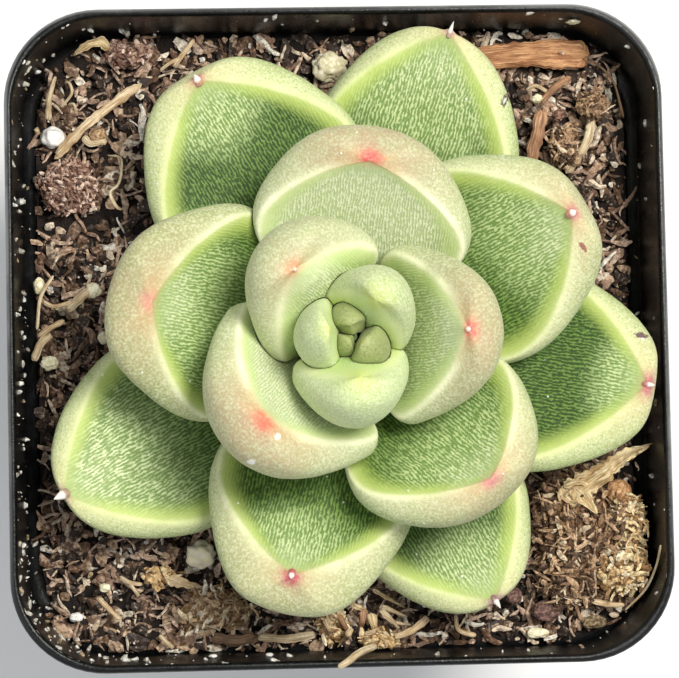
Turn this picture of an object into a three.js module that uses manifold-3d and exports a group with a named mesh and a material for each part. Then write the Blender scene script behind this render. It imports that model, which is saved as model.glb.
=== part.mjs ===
// A potted rosette succulent: nineteen thick pointed leaves on a short stem, in a square nursery pot of
// potting mix. Millimetres, +Z up, origin at the centre of the pot's underside.
import * as THREE from "three";
import { ParametricGeometry } from "three/addons/geometries/ParametricGeometry.js";
import { mergeVertices } from "three/addons/utils/BufferGeometryUtils.js";
import Module from "manifold-3d";

const wasm = await Module();
wasm.setup();

const gap = 0.3;
const merge = 1e-4;

const pot = {
  height: 50,
  rimHalf: 28,
  rimCorner: 8,
  lip: 0.7,
  collarDepth: 8.5,
  collarFlare: 0.3,
  collarStep: 0.8,
  ledgeDepth: 7.5,
  ledgeInset: 0.9,
  footHalf: 20.3,
  footCorner: 6,
  footWidth: 2.2,
  footDepth: 1.2,
  floor: 1,
  wall: 0.85,
  middleHole: 6,
  sideHole: 5,
  sideHoleAt: 11,
  notch: 5,
};

const soil = { top: 42, dip: 1.6, dipFrom: 9, dipTo: 22, roughness: 0.35, rings: 9, crumbs: 46 };

const stem = { x: 0.3, y: -0.9, root: 31, apex: 64.2, foot: 2.6, neck: 2.4, tip: 0.5, rootSpread: 5.5 };

// The shape that all leaves share, as shares of a leaf's length, width or thickness.
const form = {
  tipCrowding: 1.6,
  baseWidth: 0.3,
  baseThickness: 0.45,
  ridgeWidth: 0.945,
  spike: 0.5,
};

// What differs with age. widest is where a leaf is broadest, the blunt values say how late its hull and its
// ridge close to the point, and fill is how far the upper face swells, as a share of the thickness.
// The skin has rows along the leaf and sides around it, and faceSides of those are its upper face.
const matureForm = {
  widest: 0.71,
  blunt: 2.5,
  ridgeBlunt: 3.3,
  ridgeTaper: 0.92,
  fill: -0.03,
  rows: 10,
  sides: 18,
  faceSides: 8,
};
const innerForm = {
  widest: 0.4,
  blunt: 2.5,
  ridgeBlunt: 2.6,
  ridgeTaper: 0.95,
  fill: 0.12,
  rows: 9,
  sides: 18,
  faceSides: 8,
};
const budForm = { ...innerForm, fill: 0.6, rows: 8, sides: 14, faceSides: 6 };

// Every leaf, oldest first. turn is the compass angle from +X, reach and tip place the point, bow is how
// far the back swells past the point, roll leans the leaf on its own axis and side bends it sideways.
const leaves = [
  { turn: 299.5, reach: 24.9, tip: 50.6, width: 19, thick: 5.4, bow: 0.3, roll: 0, side: 0 },
  { turn: 70.2, reach: 27.7, tip: 52, width: 22.1, thick: 5.6, bow: 0.3, roll: -8, side: -0.7 },
  { turn: 207, reach: 26.5, tip: 51, width: 20.9, thick: 5.6, bow: 0.3, roll: 2, side: -0.4 },
  { turn: 351.2, reach: 25.5, tip: 53, width: 21.8, thick: 5.6, bow: 1.2, roll: -9, side: 0.3 },
  { turn: 118.2, reach: 25.1, tip: 53, width: 22.3, thick: 6, bow: 1.9, roll: 1, side: -0.5 },
  { turn: 255.4, reach: 19.5, tip: 56, width: 20.6, thick: 6.8, bow: 4.2, roll: 2, side: 0.3 },
  { turn: 28.6, reach: 21.2, tip: 57, width: 21.5, thick: 6.6, bow: 2.1, roll: 0, side: 0.4 },
  { turn: 168, reach: 16.1, tip: 59, width: 21.9, thick: 6.7, bow: 4, roll: -4, side: -0.5 },
  { turn: 314.2, reach: 15.9, tip: 60, width: 20.2, thick: 6.7, bow: 1.2, roll: -8, side: -0.3 },
  { turn: 82.4, reach: 14.3, tip: 61, width: 21.6, thick: 6.6, bow: 2.5, roll: -3, side: -0.2 },
  { turn: 222.6, reach: 9.4, tip: 64, width: 17.4, thick: 6.2, bow: 2, roll: 1, side: -0.3 },
  { turn: 2.3, reach: 9.1, tip: 64.5, width: 15.5, thick: 5.3, bow: 1.5, roll: 0, side: 0.2 },
  { turn: 136, reach: 6.6, tip: 65.2, width: 13.2, thick: 5.2, bow: 1.5, roll: -1, side: -0.9, fill: 0.35 },
  { turn: 278, reach: 3.3, tip: 66.8, width: 9.8, thick: 4.1, bow: 1.2, roll: -2, side: -0.3 },
  { turn: 56, reach: 3.1, tip: 67, width: 8.6, thick: 3.4, bow: 1.2, roll: -2, side: -0.2 },
  { turn: 163, reach: 1.8, tip: 66.8, width: 6.1, thick: 2.2, bow: 0.6, roll: 0, side: -0.3, fill: 0.9 },
  { turn: 332, reach: 0.8, tip: 65.9, width: 4.8, thick: 2, bow: 0.5, roll: 0, side: 0 },
  { turn: 110, reach: 0.7, tip: 65.5, width: 4.2, thick: 1.7, bow: 0.5, roll: 0, side: 0 },
  { turn: 245, reach: 0.5, tip: 64.8, width: 3, thick: 1.3, bow: 0.3, roll: 0, side: 0 },
];
const firstInner = 10;
const firstBud = 13;
const attach = { lowest: 46.8, rise: 0.62, radius: 2.9, radiusFall: 0.105 };

const smooth = (low, high, value) => THREE.MathUtils.smoothstep(value, low, high);
const radians = THREE.MathUtils.degToRad;

// The same pseudo-random numbers on every run.
function seeded(seed) {
  let state = seed;
  return () => {
    state = (state + 0x6d2b79f5) | 0;
    let mixed = Math.imul(state ^ (state >>> 15), 1 | state);
    mixed = (mixed + Math.imul(mixed ^ (mixed >>> 7), 61 | mixed)) ^ mixed;
    return ((mixed ^ (mixed >>> 14)) >>> 0) / 4294967296;
  };
}

// Keeps only the positions, shares equal vertices and drops faces that have shrunk to a line.
function tidyMesh(geometry) {
  const bare = new THREE.BufferGeometry();
  bare.setAttribute("position", geometry.getAttribute("position").clone());
  if (geometry.index) bare.setIndex(geometry.index.clone());
  const merged = mergeVertices(bare, merge);
  const corners = merged.index.array;
  const kept = [];
  for (let i = 0; i < corners.length; i += 3) {
    const [a, b, c] = [corners[i], corners[i + 1], corners[i + 2]];
    if (a !== b && b !== c && c !== a) kept.push(a, b, c);
  }
  merged.setIndex(kept);
  return merged;
}

function toSolid(geometry) {
  const mesh = tidyMesh(geometry);
  const vertProperties = new Float32Array(mesh.getAttribute("position").array);
  const triVerts = new Uint32Array(mesh.index.array);
  return new wasm.Manifold(new wasm.Mesh({ numProp: 3, vertProperties, triVerts }));
}

function toGeometry(solid) {
  const mesh = solid.getMesh();
  const geometry = new THREE.BufferGeometry();
  geometry.setAttribute("position", new THREE.BufferAttribute(mesh.vertProperties, 3));
  geometry.setIndex(new THREE.BufferAttribute(mesh.triVerts, 1));
  return geometry;
}

// Moves every vertex outwards along its normal, which makes room round a piece for its neighbour.
function swollen(geometry, distance) {
  const mesh = tidyMesh(geometry);
  mesh.computeVertexNormals();
  const position = mesh.getAttribute("position");
  const normal = mesh.getAttribute("normal");
  for (let i = 0; i < position.count; i++) {
    position.setXYZ(
      i,
      position.getX(i) + normal.getX(i) * distance,
      position.getY(i) + normal.getY(i) * distance,
      position.getZ(i) + normal.getZ(i) * distance,
    );
  }
  return toSolid(mesh);
}

function largestBody(solid) {
  const bodies = solid.decompose();
  return bodies.reduce((best, body) => (body.volume() > best.volume() ? body : best));
}

// A rounded square, walked counter-clockwise: the point at the given step of its outline.
function squareOutline(cornerSteps, sideSteps) {
  const perCorner = cornerSteps + sideSteps;
  const count = perCorner * 4;
  const at = (step, half, corner) => {
    const wrapped = ((step % count) + count) % count;
    const quarter = Math.floor(wrapped / perCorner);
    const along = wrapped - quarter * perCorner;
    const reach = half - corner;
    const bend = Math.min(along / cornerSteps, 1) * (Math.PI / 2);
    const straight = Math.max(along - cornerSteps, 0) / sideSteps;
    const x = reach + corner * Math.cos(bend) - straight * reach * 2;
    const y = reach + corner * Math.sin(bend);
    return new THREE.Vector2(x, y).rotateAround(new THREE.Vector2(), quarter * (Math.PI / 2));
  };
  return { count, at };
}

// A closed skin through a stack of rounded squares, ended by a point at each end.
function stackedSquares(outline, stations) {
  const first = stations[0];
  const last = stations[stations.length - 1];
  const all = [{ half: 0, corner: 0, z: first.z }, ...stations, { half: 0, corner: 0, z: last.z }];
  return new ParametricGeometry(
    (around, along, point) => {
      const station = all[Math.round(along * (all.length - 1))];
      const flat = outline.at(Math.round(around * outline.count), station.half, station.corner);
      point.set(flat.x, flat.y, station.z);
    },
    outline.count,
    all.length - 1,
  );
}

// The pot's outer half width at a height below the collar.
function potTaper(z) {
  const under = pot.height - pot.collarDepth;
  const top = pot.rimHalf - pot.collarFlare - pot.collarStep;
  return THREE.MathUtils.lerp(pot.footHalf, top, z / under);
}

function potCorner(half) {
  const share = (half - pot.footHalf) / (pot.rimHalf - pot.footHalf);
  return THREE.MathUtils.lerp(pot.footCorner, pot.rimCorner, share);
}

const ledgeHeight = pot.height - pot.ledgeDepth;
const floorTop = pot.footDepth + pot.floor;
const innerRim = pot.rimHalf - pot.lip;
const innerLedge = innerRim - 0.3;
const innerBelow = innerLedge - pot.ledgeInset;
const innerFloor = potTaper(floorTop) - pot.wall;

// The pot's inner half width at a height below the ledge.
function potInside(z) {
  return THREE.MathUtils.lerp(innerFloor, innerBelow, (z - floorTop) / (ledgeHeight - floorTop));
}

function potGeometry() {
  const outline = squareOutline(5, 1);
  const under = pot.height - pot.collarDepth;
  const round = 0.35;
  const station = (half, z) => ({ half, corner: potCorner(half), z });
  const shell = toSolid(
    stackedSquares(outline, [
      station(pot.footHalf - pot.footWidth, pot.footDepth),
      station(pot.footHalf - pot.footWidth, 0),
      station(pot.footHalf, 0),
      station(potTaper(under), under),
      station(pot.rimHalf - pot.collarFlare, under + 0.5),
      station(pot.rimHalf, pot.height - round),
      station(pot.rimHalf - round / 2, pot.height),
      station(innerRim + round / 2, pot.height),
      station(innerRim, pot.height - round),
      station(innerLedge, ledgeHeight + round),
      station(innerLedge - round, ledgeHeight),
      station(innerBelow, ledgeHeight - round),
      station(innerFloor, floorTop),
    ]),
  );
  const hole = (diameter, x, y) => {
    const drill = new THREE.CylinderGeometry(diameter / 2, diameter / 2, pot.height / 5, 16);
    return toSolid(drill.rotateX(Math.PI / 2).translate(x, y, 0));
  };
  let cut = shell.subtract(hole(pot.middleHole, 0, 0));
  for (const x of [-pot.sideHoleAt, pot.sideHoleAt]) {
    for (const y of [-pot.sideHoleAt, pot.sideHoleAt]) {
      cut = cut.subtract(hole(pot.sideHole, x, y));
    }
  }
  for (const quarter of [0, 1, 2, 3]) {
    const notch = new THREE.BoxGeometry(pot.footWidth * 3, pot.notch, pot.footDepth);
    notch.translate(pot.footHalf, 0, pot.footDepth / 2 - 0.2).rotateZ(quarter * (Math.PI / 2));
    cut = cut.subtract(toSolid(notch));
  }
  return toGeometry(cut);
}

// Half the width of a leaf's hull and of its ridge, and its thickness, at a share of its length.
function leafSection(leaf, share) {
  const open = Math.sin((Math.PI / 2) * Math.min(share / leaf.widest, 1)) ** 1.15;
  const rise = THREE.MathUtils.lerp(form.baseWidth, 1, open);
  const hull = (leaf.width / 2) * rise * Math.sqrt(1 - share ** leaf.blunt);
  const ridgeTaper = (1 - share ** leaf.ridgeBlunt) ** leaf.ridgeTaper;
  const ridge = Math.min((leaf.width / 2) * form.ridgeWidth * rise * ridgeTaper, hull * 0.97);
  const fill = Math.sin((Math.PI / 2) * Math.min(share / 0.6, 1));
  const fatten = THREE.MathUtils.lerp(form.baseThickness, 1, fill);
  const thick = leaf.thick * fatten * Math.sqrt(1 - share ** 5);
  return { hull, ridge, thick };
}

// A point of the leaf's skin. share runs from its base to its point, around from -1 to 1 over the section:
// the middle of that range is the upper face between the two ridges, the rest the rounded back.
function leafPoint(leaf, share, around, point) {
  const { hull, ridge, thick } = leafSection(leaf, share);
  const lean = hull > 0 ? Math.acos(ridge / hull) : Math.PI / 2;
  const lift = Math.sin(lean);
  const depth = thick / (1 + lift);
  const hand = Math.sign(around);
  const away = Math.abs(around);
  let across = 0;
  let out = 0;
  let swell = 0;
  const faceShare = leaf.faceSides / leaf.sides;
  if (away <= faceShare + merge) {
    const reach = away / faceShare;
    across = hand * ridge * reach;
    out = leaf.fill * thick * (1 - reach ** 2);
  } else {
    const reach = (away - faceShare) / (1 - faceShare);
    const angle = THREE.MathUtils.lerp(-lean, Math.PI / 2, reach);
    across = hand * hull * Math.cos(angle);
    out = -depth * (lift + Math.sin(angle));
    swell = 1 - (1 - (Math.sin(angle) + lift) / (1 + lift)) ** 3;
  }
  const bow = leaf.bow * 1.25 * share ** 5 * Math.sqrt(1 - share ** 8);
  const along = leaf.length * share + bow * swell + (share === 1 ? form.spike : 0);
  const roll = radians(leaf.roll) * Math.min(share * 1.6, 1);
  const middle = thick * 0.4;
  const rolledAcross = across * Math.cos(roll) - (out + middle) * Math.sin(roll);
  const rolledOut = across * Math.sin(roll) + (out + middle) * Math.cos(roll) - middle;
  const cupped = rolledOut + (leaf.cup * rolledAcross ** 2) / (leaf.width / 2);
  const sideways = rolledAcross + leaf.side * Math.sin(Math.PI * share);
  const bend = leaf.curl / leaf.length;
  const climb = leaf.climb + bend * along;
  const radial = leaf.root + (Math.sin(climb) - Math.sin(leaf.climb)) / bend - cupped * Math.sin(climb);
  const height = leaf.rootHeight - (Math.cos(climb) - Math.cos(leaf.climb)) / bend + cupped * Math.cos(climb);
  const turn = radians(leaf.turn);
  point.set(
    stem.x + radial * Math.cos(turn) - sideways * Math.sin(turn),
    stem.y + radial * Math.sin(turn) + sideways * Math.cos(turn),
    height,
  );
}

// Adds what follows from a leaf's place in the rosette: where it leaves the stem, its curl and its cupping.
function grownLeaf(leaf, index) {
  const bud = index >= firstBud;
  const inner = index >= firstInner;
  const shape = bud ? budForm : inner ? innerForm : matureForm;
  const root = attach.radius - attach.radiusFall * index;
  const rootHeight = attach.lowest + attach.rise * index;
  const curl = radians(inner ? 27 : 20 + 1.6 * index);
  const cup = bud ? 0.45 : inner ? 0.28 : 0.06 + 0.013 * index;
  const chord = Math.hypot(leaf.reach - root, leaf.tip - rootHeight);
  const chordClimb = Math.atan2(leaf.tip - rootHeight, leaf.reach - root);
  const length = (chord * (curl / 2)) / Math.sin(curl / 2);
  return { ...shape, ...leaf, root, rootHeight, curl, cup, length, climb: chordClimb - curl / 2 };
}

// Splits every four-sided patch of a grid along its shorter diagonal, so a leaf's two flanks come out alike.
function evenPatches(geometry) {
  const position = geometry.getAttribute("position");
  const corners = geometry.index.array;
  const at = (index) => new THREE.Vector3().fromBufferAttribute(position, index);
  for (let i = 0; i < corners.length; i += 6) {
    const [a, b, d, , c] = corners.slice(i, i + 6);
    const flipped = at(a).distanceTo(at(c)) < at(b).distanceTo(at(d)) - merge;
    if (flipped) corners.set([a, b, c, a, c, d], i);
  }
  return geometry;
}

function leafGeometry(leaf) {
  const middleOfBase = new THREE.Vector3();
  leafPoint(leaf, 0, 1, middleOfBase);
  const top = new THREE.Vector3();
  leafPoint(leaf, 0, 0, top);
  middleOfBase.add(top).multiplyScalar(0.5);
  const skin = new ParametricGeometry(
    (around, along, point) => {
      const row = Math.round(along * (leaf.rows + 1)) - 1;
      const side = Math.round(around * leaf.sides) % leaf.sides;
      if (row < 0) {
        point.copy(middleOfBase);
        return;
      }
      const share = 1 - (1 - row / leaf.rows) ** form.tipCrowding;
      leafPoint(leaf, share, 1 - (side / leaf.sides) * 2, point);
    },
    leaf.sides,
    leaf.rows + 1,
  );
  return evenPatches(skin);
}

function stemGeometry() {
  const profile = [
    new THREE.Vector2(0, stem.root),
    new THREE.Vector2(0.8, stem.root + 0.3),
    new THREE.Vector2(1.6, stem.root + 4),
    new THREE.Vector2(stem.foot, soil.top - 2),
    new THREE.Vector2(stem.foot, attach.lowest),
    new THREE.Vector2(stem.neck, attach.lowest + 3),
    new THREE.Vector2(stem.tip, stem.apex - 0.6),
    new THREE.Vector2(0, stem.apex),
  ];
  const trunk = toSolid(new THREE.LatheGeometry(profile, 12).rotateX(Math.PI / 2));
  const roots = [0, 1, 2, 3].map((index) => {
    const turn = (index + 0.3) * (Math.PI / 2);
    const route = new THREE.QuadraticBezierCurve3(
      new THREE.Vector3(0, 0, soil.top - 4),
      new THREE.Vector3(stem.rootSpread * 0.7, 0, soil.top - 5),
      new THREE.Vector3(stem.rootSpread, 0, stem.root + 1),
    );
    const outline = new THREE.Shape().absarc(0, 0, 0.7, 0, Math.PI * 2);
    const settings = { steps: 4, extrudePath: route, curveSegments: 2 };
    return toSolid(new THREE.ExtrudeGeometry(outline, settings).rotateZ(turn));
  });
  const whole = wasm.Manifold.union([trunk, ...roots]);
  return toGeometry(whole).translate(stem.x, stem.y, 0);
}

// The soil's surface under a point: a shallow dip below the rosette, and a roughness all over.
function soilHeight(x, y) {
  const fromStem = Math.hypot(x - stem.x, y - stem.y);
  const dip = soil.dip * (1 - smooth(soil.dipFrom, soil.dipTo, fromStem));
  const waves = Math.sin(x * 0.83 + 1.3) * Math.cos(y * 0.71 + 0.4) + Math.sin(x * 1.57 - y * 1.21);
  return soil.top - dip + (waves / 2) * soil.roughness;
}

// A lump with a seeded uneven surface, such as a crumb of bark or a grain of perlite.
function lump(size, detail, unevenness, seed) {
  const random = seeded(seed);
  const geometry = tidyMesh(new THREE.IcosahedronGeometry(1, detail));
  const position = geometry.getAttribute("position");
  for (let i = 0; i < position.count; i++) {
    const swell = 1 + (random() - 0.5) * unevenness;
    position.setXYZ(i, position.getX(i) * swell, position.getY(i) * swell, position.getZ(i) * swell);
  }
  return geometry.scale(size.x / 2, size.y / 2, size.z / 2);
}

// A splinter: a thin board whose two ends run out in uneven points.
function splinter(length, width, thickness, seed) {
  const random = seeded(seed);
  const outline = new THREE.Shape();
  outline.moveTo(-length / 2, -width * 0.3);
  outline.lineTo(-length * 0.38, -width * (0.42 + random() * 0.1));
  outline.lineTo(length * 0.3, -width * (0.4 + random() * 0.1));
  outline.lineTo(length / 2, -width * 0.15);
  outline.lineTo(length * 0.46, width * 0.3);
  outline.lineTo(length * 0.2, width * (0.42 + random() * 0.1));
  outline.lineTo(-length * 0.3, width * (0.4 + random() * 0.1));
  outline.lineTo(-length * 0.47, width * 0.2);
  outline.closePath();
  return new THREE.ExtrudeGeometry(outline, { depth: thickness, bevelEnabled: false, steps: 1 });
}

function straw(points, thickness) {
  const route = new THREE.CatmullRomCurve3(points.map(([x, y, z]) => new THREE.Vector3(x, y, z)));
  const outline = new THREE.Shape().absarc(0, 0, thickness / 2, 0, Math.PI * 2);
  return new THREE.ExtrudeGeometry(outline, { steps: 8, extrudePath: route, curveSegments: 3 });
}

// The loose bits that can be told apart on the soil. Each lies in a hollow that is pressed into it.
const restingHeight = soil.top + 0.5;
const looseBits = {
  wood_chip: splinter(9.8, 2.3, 1.1, 3).rotateX(0.12).translate(17.6, 24.7, restingHeight + 0.6),
  bark_lump: lump({ x: 8.4, y: 11.6, z: 5 }, 2, 0.3, 11).translate(21.1, -18.1, restingHeight + 0.7),
  beige_lump: lump({ x: 3.2, y: 2.6, z: 2.2 }, 1, 0.3, 21).translate(-0.1, 23.9, restingHeight + 0.4),
  perlite_left: lump({ x: 2, y: 1.8, z: 1.7 }, 1, 0.24, 31).translate(-24.4, 18, restingHeight + 0.6),
  perlite_front: lump({ x: 2.6, y: 2.3, z: 2 }, 1, 0.24, 41).translate(-11.9, -18.2, restingHeight + 0.3),
  brown_lump: lump({ x: 5.2, y: 4.6, z: 2.8 }, 1, 0.3, 51).translate(-22.6, 13.3, restingHeight),
  straw_left: straw([[-23.6, 16.5, 43.1], [-20.6, 19.3, 43.9], [-17, 22.4, 43.4]], 0.9),
  straw_right: straw([[20.6, 14.4, 43.1], [22.3, 16.8, 43.6], [23, 19.2, 43]], 0.8),
  straw_front: straw([[-7.3, -24.7, 43], [-4.8, -25, 43.5], [-2.4, -24.8, 43.1]], 0.9),
};

function soilGeometry(stemShape, bits) {
  const outline = squareOutline(4, 6);
  const bottom = floorTop + gap;
  const surface = Array.from({ length: soil.rings }, (unused, ring) => 1 - ring / soil.rings);
  const edge = potInside(soil.top) - gap;
  const low = potInside(bottom) - gap;
  const stations = [
    { half: low * 0.5, z: bottom },
    { half: low, z: bottom },
    ...surface.map((share) => ({ half: edge * share, top: true })),
  ];
  const middle = new THREE.Vector3(0, 0, soilHeight(0, 0));
  const rows = stations.length + 1;
  const bed = new ParametricGeometry(
    (around, along, point) => {
      const row = Math.round(along * rows) - 1;
      if (row < 0) {
        point.set(0, 0, bottom);
        return;
      }
      const station = stations[row];
      if (!station) {
        point.copy(middle);
        return;
      }
      const corner = potCorner(potInside(soil.top)) * (station.half / edge);
      const flat = outline.at(Math.round(around * outline.count), station.half, corner);
      point.set(flat.x, flat.y, station.top ? soilHeight(flat.x, flat.y) : station.z);
    },
    outline.count,
    rows,
  );
  const random = seeded(77);
  const crumbs = [];
  while (crumbs.length < soil.crumbs) {
    const x = (random() * 2 - 1) * (edge - 2.2);
    const y = (random() * 2 - 1) * (edge - 2.2);
    const size = new THREE.Vector3(1.4 + random() * 2.4, 1.2 + random() * 1.4, 1.2 + random());
    const turn = random() * Math.PI;
    const outside = Math.hypot(x - stem.x, y - stem.y) > 17;
    const inCorner = Math.abs(x) + Math.abs(y) > edge * 2 - 6;
    if (!outside || inCorner) continue;
    const crumb = lump(size, 0, 0.4, crumbs.length + 100);
    crumb.rotateZ(turn).translate(x, y, soilHeight(x, y) + 0.1);
    crumbs.push(toSolid(crumb));
  }
  const rough = wasm.Manifold.union([toSolid(bed), ...crumbs]);
  const hollows = [swollen(stemShape, gap), ...bits.map((bit) => swollen(bit, gap))];
  return toGeometry(largestBody(rough.subtract(wasm.Manifold.union(hollows)).simplify(0.06)));
}

function piece(name, geometry, colour, roughness) {
  const material = new THREE.MeshStandardMaterial({ color: colour, roughness, metalness: 0 });
  const mesh = new THREE.Mesh(geometry, material);
  mesh.name = name;
  return mesh;
}

// Works from the innermost leaf outwards: each older leaf makes room for all the younger ones.
function leafMeshes(stemShape) {
  const grown = leaves.map(grownLeaf);
  const taken = [swollen(stemShape, gap)];
  const meshes = [];
  for (let index = grown.length - 1; index >= 0; index--) {
    const whole = leafGeometry(grown[index]);
    const fitted = toSolid(whole).subtract(wasm.Manifold.union(taken)).simplify(0.04);
    taken.push(swollen(whole, gap));
    const name = "leaf_" + String(index + 1).padStart(2, "0");
    const colour = index >= firstBud ? "#b7c795" : index >= firstInner ? "#a9bd83" : "#8fae5f";
    meshes.unshift(piece(name, toGeometry(largestBody(fitted)), colour, 0.45));
  }
  return meshes;
}

const bitColours = {
  wood_chip: "#a8703c",
  bark_lump: "#8a6a48",
  beige_lump: "#c8b596",
  perlite_left: "#f2f0ea",
  perlite_front: "#d9d2b4",
  brown_lump: "#5f4632",
  straw_left: "#b39b78",
  straw_right: "#a08763",
  straw_front: "#b8a184",
};

const group = new THREE.Group();
const stemShape = stemGeometry();
const bitShapes = Object.values(looseBits);
group.add(piece("pot", potGeometry(), "#1c1c1e", 0.4));
group.add(piece("soil", soilGeometry(stemShape, bitShapes), "#3f2e22", 0.95));
group.add(piece("stem", stemShape, "#8f8a5a", 0.8));
group.add(...leafMeshes(stemShape));
for (const [name, geometry] of Object.entries(looseBits)) {
  group.add(piece(name, tidyMesh(geometry), bitColours[name], 0.9));
}

export default group;
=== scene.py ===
import math

import bmesh
import bpy
import numpy as np
from mathutils import Matrix, Vector, noise


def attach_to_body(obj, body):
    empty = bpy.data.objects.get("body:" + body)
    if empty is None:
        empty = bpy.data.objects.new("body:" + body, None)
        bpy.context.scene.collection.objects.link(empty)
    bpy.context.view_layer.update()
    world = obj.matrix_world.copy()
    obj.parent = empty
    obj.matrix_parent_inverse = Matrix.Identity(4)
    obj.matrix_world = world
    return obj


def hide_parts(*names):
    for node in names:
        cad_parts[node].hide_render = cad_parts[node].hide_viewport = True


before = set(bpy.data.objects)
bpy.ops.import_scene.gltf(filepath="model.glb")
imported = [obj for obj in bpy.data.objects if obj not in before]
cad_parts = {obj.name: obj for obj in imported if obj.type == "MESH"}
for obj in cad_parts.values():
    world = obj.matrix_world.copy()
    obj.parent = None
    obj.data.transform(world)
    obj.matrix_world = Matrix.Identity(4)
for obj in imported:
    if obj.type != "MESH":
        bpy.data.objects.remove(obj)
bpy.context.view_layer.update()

mm = 0.001
print("frame loaded")


class Wire:  # a node's output, so that a rule can be written as a formula
    def __init__(self, socket):
        self.socket = socket
        self.tree = socket.id_data

    def maths(self, operation, *others):
        made = self.tree.nodes.new("ShaderNodeMath")
        made.operation = operation
        for socket, value in zip(made.inputs, (self, *others)):
            feed(socket, value)
        return Wire(made.outputs[0])

    def __add__(self, other):
        return self.maths("ADD", other)

    def __radd__(self, other):
        return self.maths("ADD", other)

    def __sub__(self, other):
        return self.maths("SUBTRACT", other)

    def __rsub__(self, other):
        return self.maths("MULTIPLY", -1).maths("ADD", other)

    def __mul__(self, other):
        return self.maths("MULTIPLY", other)

    def __rmul__(self, other):
        return self.maths("MULTIPLY", other)

    def __truediv__(self, other):
        return self.maths("DIVIDE", other)

    def __pow__(self, other):
        return self.maths("POWER", other)

    def __neg__(self):
        return self.maths("MULTIPLY", -1)

    def __abs__(self):
        return self.maths("ABSOLUTE")


def feed(socket, value):
    if isinstance(value, Wire):
        socket.id_data.links.new(value.socket, socket)
    else:
        socket.default_value = value


def addNode(tree, kind, inputs=None, **settings):
    made = tree.nodes.new(kind)
    for name, value in settings.items():
        setattr(made, name, value)
    for name, value in (inputs or {}).items():
        feed(next(s for s in made.inputs if s.name == name and s.enabled), value)
    return made


def wire(made, name=None):
    if name is None:
        return Wire(next(s for s in made.outputs if s.enabled))
    return Wire(next(s for s in made.outputs if s.name == name and s.enabled))


def sine(value):
    return value.maths("SINE")


def cosine(value):
    return value.maths("COSINE")


def root(value):
    return value.maths("MAXIMUM", 0).maths("SQRT")


def lowest(first, second):
    return first.maths("MINIMUM", second)


def highest(first, second):
    return first.maths("MAXIMUM", second)


def blend(low, high, share):
    return share * (high - low) + low


def within(value):
    return min(1.0, max(0.0, value))


def fade(value, start, end):  # 0 at start, 1 at end, eased
    low, high = 0.0, 1.0
    if not isinstance(start, Wire) and not isinstance(end, Wire) and start > end:
        start, end, low, high = end, start, high, low
    return wire(addNode(value.tree, "ShaderNodeMapRange", {
        "Value": value, "From Min": start, "From Max": end, "To Min": low, "To Max": high,
    }, interpolation_type="SMOOTHSTEP"))


def vector(x, y, z):
    tree = next(value.tree for value in (x, y, z) if isinstance(value, Wire))
    return wire(addNode(tree, "ShaderNodeCombineXYZ", {"X": x, "Y": y, "Z": z}))


def parts(value):
    made = addNode(value.tree, "ShaderNodeSeparateXYZ", {"Vector": value})
    return [Wire(socket) for socket in made.outputs]


def vectorMaths(operation, first, second=None, scale=None):
    made = first.tree.nodes.new("ShaderNodeVectorMath")
    made.operation = operation
    feed(made.inputs[0], first)
    if second is not None:
        feed(made.inputs[1], second)
    if scale is not None:
        feed(made.inputs["Scale"], scale)
    return wire(made)


def cloud(place, scale, detail=2.0, roughness=0.5):  # soft noise, about 0.5 on average
    inputs = {"Vector": place, "Scale": scale, "Detail": detail, "Roughness": roughness}
    return wire(addNode(place.tree, "ShaderNodeTexNoise", inputs), "Fac")


def linear(colour):  # a written colour such as "8fae5f" as the renderer's own numbers
    values = [int(colour[i:i + 2], 16) / 255 for i in (0, 2, 4)]
    return (*[v / 12.92 if v <= 0.04045 else ((v + 0.055) / 1.055) ** 2.4 for v in values], 1.0)


def mixed(first, second, share):  # colours are written ones or wires
    first, second = [linear(c) if isinstance(c, str) else c for c in (first, second)]
    inputs = {"Factor": share, "A": first, "B": second}
    return wire(addNode(share.tree, "ShaderNodeMix", inputs, data_type="RGBA"))


def newTree(name, inputs):  # inputs are {name: default value}, and the default tells the kind
    kinds = {float: "NodeSocketFloat", int: "NodeSocketInt", type(None): "NodeSocketMaterial",
             tuple: "NodeSocketVector", str: "NodeSocketGeometry"}
    tree = bpy.data.node_groups.new(name, "GeometryNodeTree")
    tree.interface.new_socket(name="Geometry", in_out="OUTPUT", socket_type="NodeSocketGeometry")
    for label, value in inputs.items():
        socket = tree.interface.new_socket(name=label, in_out="INPUT", socket_type=kinds[type(value)])
        if not isinstance(value, (str, type(None))):
            socket.default_value = value
    group = tree.nodes.new("NodeGroupInput")
    return tree, lambda label: Wire(group.outputs[label])


def geo(tree, kind, inputs=None, **settings):  # a geometry node's first output
    return wire(addNode(tree, "GeometryNode" + kind, inputs, **settings))


def stored(tree, name, kind="FLOAT"):
    return geo(tree, "InputNamedAttribute", {"Name": name}, data_type=kind)


def store(geometry, name, value, **settings):
    inputs = {"Geometry": geometry, "Name": name, "Value": value}
    return geo(geometry.tree, "StoreNamedAttribute", inputs, **settings)


def tubeAlong(curve, profile, scale=1.0):
    inputs = {"Curve": curve, "Profile Curve": profile, "Scale": scale, "Fill Caps": True}
    return geo(curve.tree, "CurveToMesh", inputs)


def moveTo(geometry, place):
    return geo(geometry.tree, "SetPosition", {"Geometry": geometry, "Position": place})


def endTree(tree, geometry, material, smooth=True):
    real = geo(tree, "RealizeInstances", {"Geometry": geometry})
    shaded = geo(tree, "SetShadeSmooth", {"Geometry": real, "Shade Smooth": smooth})
    painted = geo(tree, "SetMaterial", {"Geometry": shaded, "Material": material})
    feed(tree.nodes.new("NodeGroupOutput").inputs[0], painted)


def newObject(name, data):
    made = bpy.data.objects.new(name, data)
    bpy.context.scene.collection.objects.link(made)
    return made


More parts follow.
